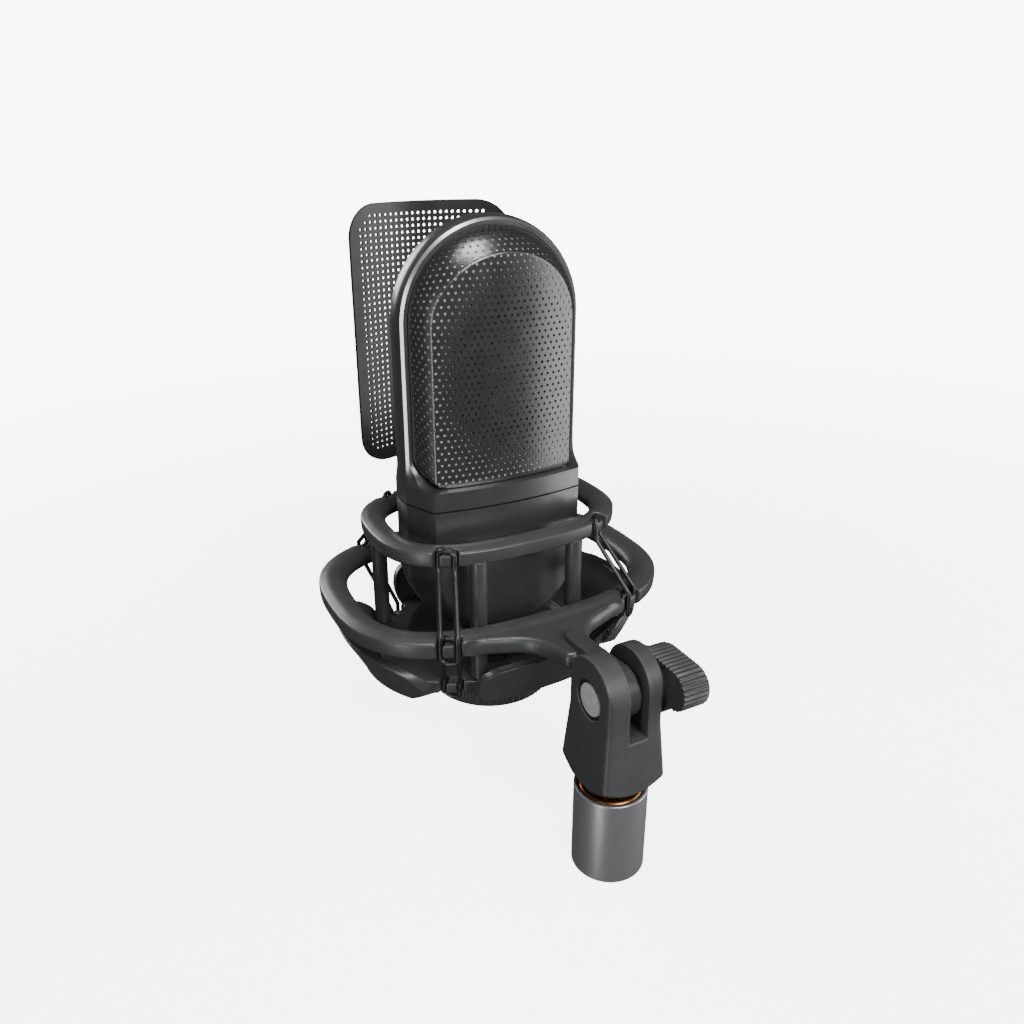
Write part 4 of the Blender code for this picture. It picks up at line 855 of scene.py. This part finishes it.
def build_outer_ring():
    """Lower ring with its neck and the tongue that turns in the clevis."""
    ring = ring_body("outer_ring_moulding", OUTER_A, OUTER_B, OUTER_TOP, OUTER_TUBE_W, OUTER_TUBE_H, 224)
    combined(ring, slot_cutters(OUTER_HOOK, OUTER_TOP, OUTER_TUBE_H, 4.4 * MM), 'DIFFERENCE')
    half = SLOT_HALF - GAP
    front = TONGUE_TIP + half
    side = arc(PIN_AT, TONGUE_R, -110, 105, 40)
    side += [(front, OUTER_TOP + TONGUE_RISE), (front, OUTER_TOP - 5.0 * MM), (66 * MM, OUTER_TOP - 7.0 * MM)]
    tongue = prism("tongue", side, SLOT_X - half, SLOT_X + half, 'X')
    combined(tongue, [cylinder("tongue_bore", PIN_R + GAP, -10 * MM, 10 * MM, 'X', PIN_AT)], 'DIFFERENCE')
    nose = cylinder("tongue_nose", half, OUTER_TOP - 5.0 * MM, OUTER_TOP + TONGUE_RISE, 'Z', (SLOT_X, front))
    gathered(ring, [neck_body(), tongue, nose])
    softened(ring, 0.36 * MM, 5)
    finished(ring, "mount_frame", "outer_ring", "mount_plastic", 70)


def leaf(name, centre_r, centre_x, half, axis, sign):
    """Curved leaf of the cradle with a full round crest, rising and leaning outwards."""
    layers = spline([(*mm(z, lean), share) for z, lean, share in (
        (-60.0, 0.0, 0.78), (-56.5, 1.5, 0.95), (-51.0, 4.4, 1.0), (-46.5, 6.9, 0.92), (-44.2, 8.0, 0.74),
        (-43.5, 8.2, 0.42))], 4)
    rows = []
    steps = 28
    for z, lean, share in layers:
        loop = []
        for r, order in ((centre_r + lean, 1), (centre_r + lean - LEAF_T, -1)):
            run = [half * share * (2 * i / steps - 1) * order for i in range(steps + 1)]
            loop += [(centre_x + sqrt(r * r - t * t), t) for t in run]
        rows.append([(sign * u, sign * t, z) if axis == 'X' else (sign * t, sign * u, z) for u, t in loop])
    return loft(name, rows)


def build_cradle():
    """Cradle that carries the microphone: dished floor, four leaves round it, cord tabs at the corners."""
    corners = (mm(41, 15), mm(36.2, 21.4), mm(18, 30.4), mm(14, 33.6))
    outline = list(corners) + [(-x, y) for x, y in reversed(corners)]
    outline += [(-x, -y) for x, y in corners] + [(x, -y) for x, y in reversed(corners)]
    hub = prism("cradle_moulding", outline, LEDGE_BOTTOM, LEDGE_TOP)
    bowl = spline((mm(31, -57), mm(29.4, -60.0), mm(25, -63.0), (21 * MM, NUT_TOP + GAP)), 6)
    parts = [lathe("bowl", [(0, -57 * MM)] + bowl + [(0, NUT_TOP + GAP)])]
    parts += [leaf("leaf_" + side, *SIDE_LEAF, 'X', sign) for side, sign in (("left", 1), ("right", -1))]
    parts += [leaf("leaf_" + side, *END_LEAF, 'Y', sign) for side, sign in (("back", 1), ("front", -1))]
    combined(hub, parts, 'UNION')
    dish = spline((mm(31, -40), mm(28.5, -54), mm(23, -57), mm(16, -58.5)), 5)
    cutters = [lathe("dish", [(0, -40 * MM)] + dish + [(0, -58.5 * MM)]),
               cylinder("stem_hole", STEM_R + GAP, -80 * MM, -50 * MM)]
    combined(hub, cutters + slot_cutters(HUB_HOOK, LEDGE_TOP, 4.4 * MM, 3.4 * MM), 'DIFFERENCE')
    softened(hub, 0.42 * MM, 4)
    finished(hub, "cage", "cradle_hub", "mount_plastic", 70)


def build_posts():
    """Four posts between the upper ring and the cradle, each with narrow chamfers at its ends."""
    for place, (x, y) in (("back", POST_BACK), ("front", POST_FRONT)):
        for side, sign in (("left", 1), ("right", -1)):
            top, foot, edge = INNER_TOP - INNER_TUBE_H + 1.4 * MM, LEDGE_TOP + GAP, 0.25 * MM
            profile = [(0, top), (POST_R - edge, top), (POST_R, top - edge), (POST_R, foot + edge),
                       (POST_R - edge, foot), (0, foot)]
            post = lathe(f"post_{place}_{side}_moulding", profile, 48, at=(sign * x, y, 0))
            finished(post, "cage", f"post_{place}_{side}", "mount_plastic")


def rippled(name, rim, levels, depth, ribs, axis='Z', at=(0, 0)):
    """Disc with even ribs of a depth round its rim; levels are (height, inset, share of the ribs)."""
    count = len(rim)
    lengths = [0.0]
    for i in range(count):
        lengths.append(lengths[-1] + (Vector(rim[(i + 1) % count]) - Vector(rim[i])).length)
    sections = []
    for height, inset, share in levels:
        moved = offset_outline(rim, inset)
        loop = []
        for i, (u, v) in enumerate(moved):
            out = outward(rim[i - 1], rim[(i + 1) % count])
            lift = depth * share * cos(2 * pi * ribs * lengths[i] / lengths[-1])
            point = Vector((u, v)) + out * (lift - depth * share) + Vector(at)
            loop.append((point.x, point.y, height) if axis == 'Z' else (height, point.x, point.y))
        sections.append(loop)
    return loft(name, sections)


def build_lock_ring():
    """Ribbed locking ring under the cradle, threaded on the stem."""
    levels = ((NUT_BOTTOM, 0.9 * MM, 0.0), (NUT_BOTTOM + 0.5 * MM, 0.25 * MM, 0.4), (NUT_BOTTOM + MM, 0, 1),
              (NUT_TOP - MM, 0, 1), (NUT_TOP - 0.5 * MM, 0.25 * MM, 0.4), (NUT_TOP, 0.9 * MM, 0.0))
    ring = rippled("lock_ring_moulding", circle((0, 0), NUT_R, 720), levels, 0.20 * MM, NUT_RIBS)
    combined(ring, [cylinder("lock_bore", STEM_R + GAP, -90 * MM, -60 * MM)], 'DIFFERENCE')
    finished(ring, "lock_ring", "lock_ring", "mount_plastic", 50)


def cord_point(hook, signs, inward, side, height):
    """Point beside a corner tab: inward from its outer face, to one side, at a height."""
    out = Vector((hook[0] * signs[0], hook[1] * signs[1]))
    reach = out.normalized() * (out.length - inward)
    across = Vector((-out.y, out.x)).normalized() * side * signs[0] * signs[1]
    return Vector((*(reach + across), height))


def tube_along(name, points, radius, sides=16):
    """Closed round tube along a loop of points."""
    count = len(points)
    rows = []
    for i, point in enumerate(points):
        along = (points[(i + 1) % count] - points[i - 1]).normalized()
        across = (Vector((1, 1, 0)) if abs(along.z) > 0.5 else Vector((0, 0, 1))).cross(along).normalized()
        if rows and across.dot(rows[-1][1]) < 0:
            across.negate()
        rows.append(([], across))
        up = along.cross(across)
        for k in range(sides):
            t = 2 * pi * k / sides
            rows[-1][0].append(point + across * radius * cos(t) + up * radius * sin(t))
    return loft(name, [row for row, _ in rows], ring=True)


def build_cords():
    """Eight elastic loops, upper ring to lower ring and lower ring to cradle."""
    low = OUTER_TOP - OUTER_TUBE_H
    runs = {
        "upper_cord": ((INNER_HOOK, 1.3 * MM, INNER_TOP - 1.2 * MM),
                       (INNER_HOOK, 0.9 * MM, INNER_TOP - INNER_TUBE_H - 0.6 * MM),
                       (OUTER_HOOK, 1.2 * MM, OUTER_TOP + 1.2 * MM),
                       (OUTER_HOOK, 1.2 * MM, OUTER_TOP - 1.5 * MM), (OUTER_HOOK, 1.2 * MM, low + 0.2 * MM)),
        "lower_cord": ((OUTER_HOOK, 3.0 * MM, OUTER_TOP - 1.2 * MM), (OUTER_HOOK, 3.0 * MM, low - 0.6 * MM),
                       (HUB_HOOK, 1.2 * MM, LEDGE_TOP + 1.0 * MM), (HUB_HOOK, 1.2 * MM, LEDGE_TOP - 0.6 * MM),
                       (HUB_HOOK, 1.2 * MM, LEDGE_BOTTOM + 0.2 * MM)),
    }
    half = (TAB_W + SLOT_W) / 2
    for run, legs in runs.items():
        for key, signs in CORNERS:
            points = []
            for (hook, inward, height), start in ((legs[0], 0), (legs[-1], pi)):
                for i in range(13):
                    t = start + pi * i / 12
                    points.append(cord_point(hook, signs, inward, half * cos(t), height + CORD_ARCH * sin(t)))
                inner = legs[1:-1] if start == 0 else legs[-2:0:-1]
                side = -half if start == 0 else half
                points += [cord_point(h, signs, i, side, z) for h, i, z in inner]
            loop = tube_along(f"{run}_{key}_loop", dense(points), CORD_R)
            finished(loop, None, f"{run}_{key}", "elastic_cord", 70)
            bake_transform(loop)


def dense(points):
    """Loop with its long straight runs divided."""
    made = []
    for i, point in enumerate(points):
        after = points[(i + 1) % len(points)]
        steps = max(1, round((after - point).length / (1.5 * MM)))
        made += [point.lerp(after, k / steps) for k in range(steps)]
    return made


# ---- stand side ------------------------------
def clevis_section(grow, z):
    """Rectangular section of the clevis with small round corners."""
    a, b, r = CLEVIS_HALF_W + grow, CLEVIS_HALF_D + grow, 1.6 * MM
    loop = []
    for sx, sy, start in ((1, 1, 0), (-1, 1, 90), (-1, -1, 180), (1, -1, 270)):
        loop += arc((sx * (a - r), sy * (b - r)), r, start, start + 90, 8)
    return [(x, PIN_Y + y, z) for x, y in loop]


def build_clevis():
    """Two-eared block on the stud with softly rounded edges."""
    block = loft("clevis_moulding", [clevis_section(CLEVIS_TAPER, CLEVIS_BOTTOM),
                                     clevis_section(0, PIN_Z - 6 * MM), clevis_section(0, CLEVIS_TOP)])
    crest = CLEVIS_TOP - CLEVIS_HALF_D
    out, wide, shoulder = 14 * MM, CLEVIS_HALF_D * 1.12, crest - 6 * MM
    ear = [(PIN_Y + out, CLEVIS_BOTTOM - MM), (PIN_Y + out, shoulder), (PIN_Y + wide, shoulder)]
    ear += arc((PIN_Y, crest), CLEVIS_HALF_D, 0, 180, 48)
    ear += [(PIN_Y - wide, shoulder), (PIN_Y - out, shoulder), (PIN_Y - out, CLEVIS_BOTTOM - MM)]
    cone = lathe("cone", [(0, 0), mm(24, 0), mm(24, -49.6), (10.9 * MM, CLEVIS_BOTTOM), (0, CLEVIS_BOTTOM)],
                 at=(0, PIN_Y, 0))
    combined(block, [prism("ear_form", ear, -out, out, 'X'), cone], 'INTERSECT')
    seat = CLEVIS_HALF_W - PIN_RECESS
    combined(block, [box("slot", (SLOT_X - SLOT_HALF, PIN_Y - out, SLOT_FLOOR),
                         (SLOT_X + SLOT_HALF, PIN_Y + out, 0)),
                     cylinder("bore", PIN_R + GAP, -out, out, 'X', PIN_AT),
                     cylinder("recess", PIN_RECESS_R, seat, out, 'X', PIN_AT),
                     cylinder("stud_bore", STUD_R + GAP, CLEVIS_BOTTOM - MM, CLEVIS_BOTTOM + 14.6 * MM, 'Z',
                              (0, PIN_Y))], 'DIFFERENCE')
    softened(block, 0.26 * MM, 5)
    finished(block, "clevis", "clevis", "clevis_nylon", 70)

    head, end = seat + GAP, KNOB_X0 - 6 * MM
    profile = [(0, head + 1.5 * MM), (1.2 * MM, head + 1.6 * MM)]
    profile += [(PIN_HEAD_R - inset * MM, head + rise * MM) for inset, rise in (
        (0.35, 1.6), (0.1, 1.5), (0, 1.25), (0, 0))]
    profile += [(PIN_R, head), (PIN_R, end), (0, end)]
    pin = lathe("clevis_pin_turned", profile, axis='X', at=(0, *PIN_AT))
    finished(pin, "clevis", "clevis_pin", "brushed_steel", 30)


def knob_rim(angle):
    """Distance from the knob's axis to its outline: round hub, two round wings, a straight flank on each."""
    step_in = KNOB_HUB_R - KNOB_WING_R
    flank_run = sqrt(KNOB_WING_AT ** 2 - step_in ** 2)
    rim = KNOB_HUB_R
    for wing in (KNOB_TURN, KNOB_TURN + pi):
        ahead = KNOB_WING_AT * cos(angle - wing)
        across = KNOB_WING_AT * sin(angle - wing)
        if ahead > 0 and abs(across) < KNOB_WING_R:
            rim = max(rim, ahead + sqrt(KNOB_WING_R ** 2 - across ** 2))
        lean = wing + acos(step_in / KNOB_WING_AT) - angle
        if cos(lean) > 0 and 0 < KNOB_HUB_R * tan(lean) < flank_run:
            rim = max(rim, KNOB_HUB_R / cos(lean))
    return rim


def build_knob():
    """Two-winged knob with fine ribs all round."""
    count = 900
    radii = [knob_rim(2 * pi * i / count) for i in range(count)]
    for _ in range(60):
        radii = [(radii[i - 1] + 2 * radii[i] + radii[(i + 1) % count]) / 4 for i in range(count)]
    rim = [(r * cos(2 * pi * i / count), r * sin(2 * pi * i / count)) for i, r in enumerate(radii)]
    levels = ((KNOB_X1, 1.1 * MM, 0.0), (KNOB_X1 + 0.3 * MM, 0.5 * MM, 0.3),
              (KNOB_X1 + 0.9 * MM, 0.02 * MM, 1), (KNOB_X0 - 0.1 * MM, 0.0, 1), (KNOB_X0, 0.08 * MM, 1.0))
    knob = rippled("tilt_knob_moulding", rim, levels, 0.24 * MM, KNOB_RIBS, 'X', PIN_AT)
    bore = cylinder("knob_bore", PIN_R + GAP, KNOB_X0 - 7 * MM, KNOB_X0 + MM, 'X', PIN_AT)
    combined(knob, [bore], 'DIFFERENCE')
    finished(knob, "tilt_knob", "tilt_knob", "clevis_nylon", 35)


def build_stand():
    """Stand tube with a rolled rim, and the threaded bronze insert in it."""
    foot = -MIC.z
    rim = arc((TUBE_R - 0.5 * MM, TUBE_TOP - 0.5 * MM), 0.5 * MM, 90, 0, 6)
    tube = lathe("stand_tube_drawn", rim + [(TUBE_R, foot + 0.3 * MM), (TUBE_R - 0.3 * MM, foot),
                                            (TUBE_BORE, foot), (TUBE_BORE, TUBE_TOP)],
                 128, at=(0, PIN_Y, 0), closed=True)
    finished(tube, "stand", "stand_tube", "tube_grey", 35)
    r, top, end = TUBE_BORE - GAP, CLEVIS_BOTTOM + 14 * MM, TUBE_TOP - 12 * MM
    profile = [(0, top)]
    for i in range(int((top - TUBE_TOP) / INSERT_PITCH)):
        profile += [(STUD_R, top - i * INSERT_PITCH), (STUD_R - 0.5 * MM, top - (i + 0.5) * INSERT_PITCH)]
    collar = [(r - inset * MM, TUBE_TOP + rise * MM) for inset, rise in (
        (3.0, -0.6), (2.0, 0.1), (1.0, 0.3), (0.2, -0.2), (0.0, -1.2))]
    profile += spline([(STUD_R, TUBE_TOP + 0.6 * MM)] + collar, 4)
    insert = lathe("thread_insert_turned", profile + [(r, end), (0, end)], at=(0, PIN_Y, 0))
    finished(insert, "stand", "thread_insert", "thread_bronze", 35)


# ---- build ------------------------------
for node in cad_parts.values():
    for slot in node.material_slots:
        slot.material = FOR_SLOT[slot.material.name.split(".")[0]]

holes = hole_centres()
build_grille("rear", 1, holes)
build_grille("front", -1, holes)
for build in (build_head_frame, build_body, build_gain_knob, build_pop_filter, build_inner_ring,
              build_outer_ring, build_cradle, build_posts, build_lock_ring, build_cords, build_clevis,
              build_knob, build_stand):
    build()


# ---- stage, lights, camera ------------------------------
FLOOR_FULL_R, FLOOR_R = 0.15, 0.9    # the floor starts to fade at the first and ends at the second (metres)
FLOOR_GLOW, WHITE = 5.0, 9.0         # how bright the floor and the surroundings look


def build_floor():
    """Plain pale floor under the stand tube, which melts into the white surroundings."""
    bm = bmesh.new()
    bmesh.ops.create_circle(bm, cap_ends=True, segments=96, radius=FLOOR_R)
    floor = from_bmesh(bm, "floor")
    floor.location = (0, 0, cad_low.z - 0.5 * MM)
    made = Finish("floor_pale", (0.90, 0.90, 0.90), 0.9)
    made.cloud(made.noise(0.4), 0.01)
    made.shader.inputs["Emission Color"].default_value = (1, 1, 1, 1)
    made.shader.inputs["Emission Strength"].default_value = FLOOR_GLOW
    far = made.node("VectorMath", made.place, 0)
    far.operation = 'LENGTH'
    fade = made.node("MapRange", far.outputs["Value"], "Value", From_Min=FLOOR_FULL_R, From_Max=FLOOR_R,
                     To_Min=1.0, To_Max=0.0)
    fade.interpolation_type = 'SMOOTHSTEP'
    made.links.new(fade.outputs["Result"], made.shader.inputs["Alpha"])
    floor.data.materials.append(made.material)
    floor.visible_glossy = floor.visible_diffuse = floor.visible_shadow = False


# name, place from the middle of the microphone (metres), width (metres), watts, height over width
LIGHTS = (("strip_left", (0.58, 0.39, -0.08), 0.13, 2.2, 6.0),
          ("front_soft", (-0.06, 0.80, 0.42), 0.42, 9.0, 1.0),
          ("top_soft", (0.06, 0.10, 0.65), 0.22, 3.0, 1.0),
          ("fill_right", (-0.60, 0.35, -0.02), 0.45, 3.6, 1.4),
          ("rear_soft", (0.30, -0.75, 0.28), 0.40, 5.0, 1.0))
AMBIENT = (0.09, 0.09, 0.093)        # the surroundings, as the object's surfaces see them
CAMERA_AT = (0.120585, 0.168783, 0.201282)
AZIMUTH, ELEVATION = radians(27.5287), radians(22.0193)
LENS, SHIFT_X, SHIFT_Y = 31.36, 0.00205, -0.02388


def area(name, offset, size, power, stretch):
    """Soft rectangular light aimed at the middle of the microphone."""
    aim = MIC + Vector((0, 0, 30 * MM))
    at = aim + Vector(offset)
    light = bpy.data.lights.new(name, 'AREA')
    light.shape = 'RECTANGLE'
    light.size, light.size_y = size, size * stretch
    light.energy = power
    obj = bpy.data.objects.new(name, light)
    obj.location = at
    obj.rotation_mode = 'QUATERNION'
    obj.rotation_quaternion = (aim - at).to_track_quat('-Z', 'Y')
    obj.visible_camera = False
    SCENE.collection.objects.link(obj)


def build_world():
    """White surroundings for the eye, dimmer ones for what the object reflects."""
    world = bpy.data.worlds.new("studio")
    world.use_nodes = True
    SCENE.world = world
    nodes, links = world.node_tree.nodes, world.node_tree.links
    background = nodes["Background"]
    ray = nodes.new("ShaderNodeLightPath")
    mix = nodes.new("ShaderNodeMix")
    mix.data_type = 'RGBA'
    mix.inputs[6].default_value = (*AMBIENT, 1)
    mix.inputs[7].default_value = (WHITE, WHITE, WHITE, 1)
    links.new(ray.outputs["Is Camera Ray"], mix.inputs["Factor"])
    links.new(mix.outputs[2], background.inputs["Color"])


def build_camera():
    """Camera at the photograph's viewing angle and framing."""
    camera = bpy.data.objects.new("camera", bpy.data.cameras.new("camera"))
    camera.data.sensor_width = 36
    camera.data.lens = LENS
    camera.data.shift_x, camera.data.shift_y = SHIFT_X, SHIFT_Y
    camera.data.clip_start, camera.data.clip_end = 0.01, 20
    camera.location = CAMERA_AT
    camera.rotation_mode = 'QUATERNION'
    camera.rotation_quaternion = Vector((sin(AZIMUTH) * cos(ELEVATION), cos(AZIMUTH) * cos(ELEVATION),
                                         sin(ELEVATION))).to_track_quat('Z', 'Y')
    SCENE.collection.objects.link(camera)
    SCENE.camera = camera


build_world()
build_floor()
for light in LIGHTS:
    area(*light)
build_camera()
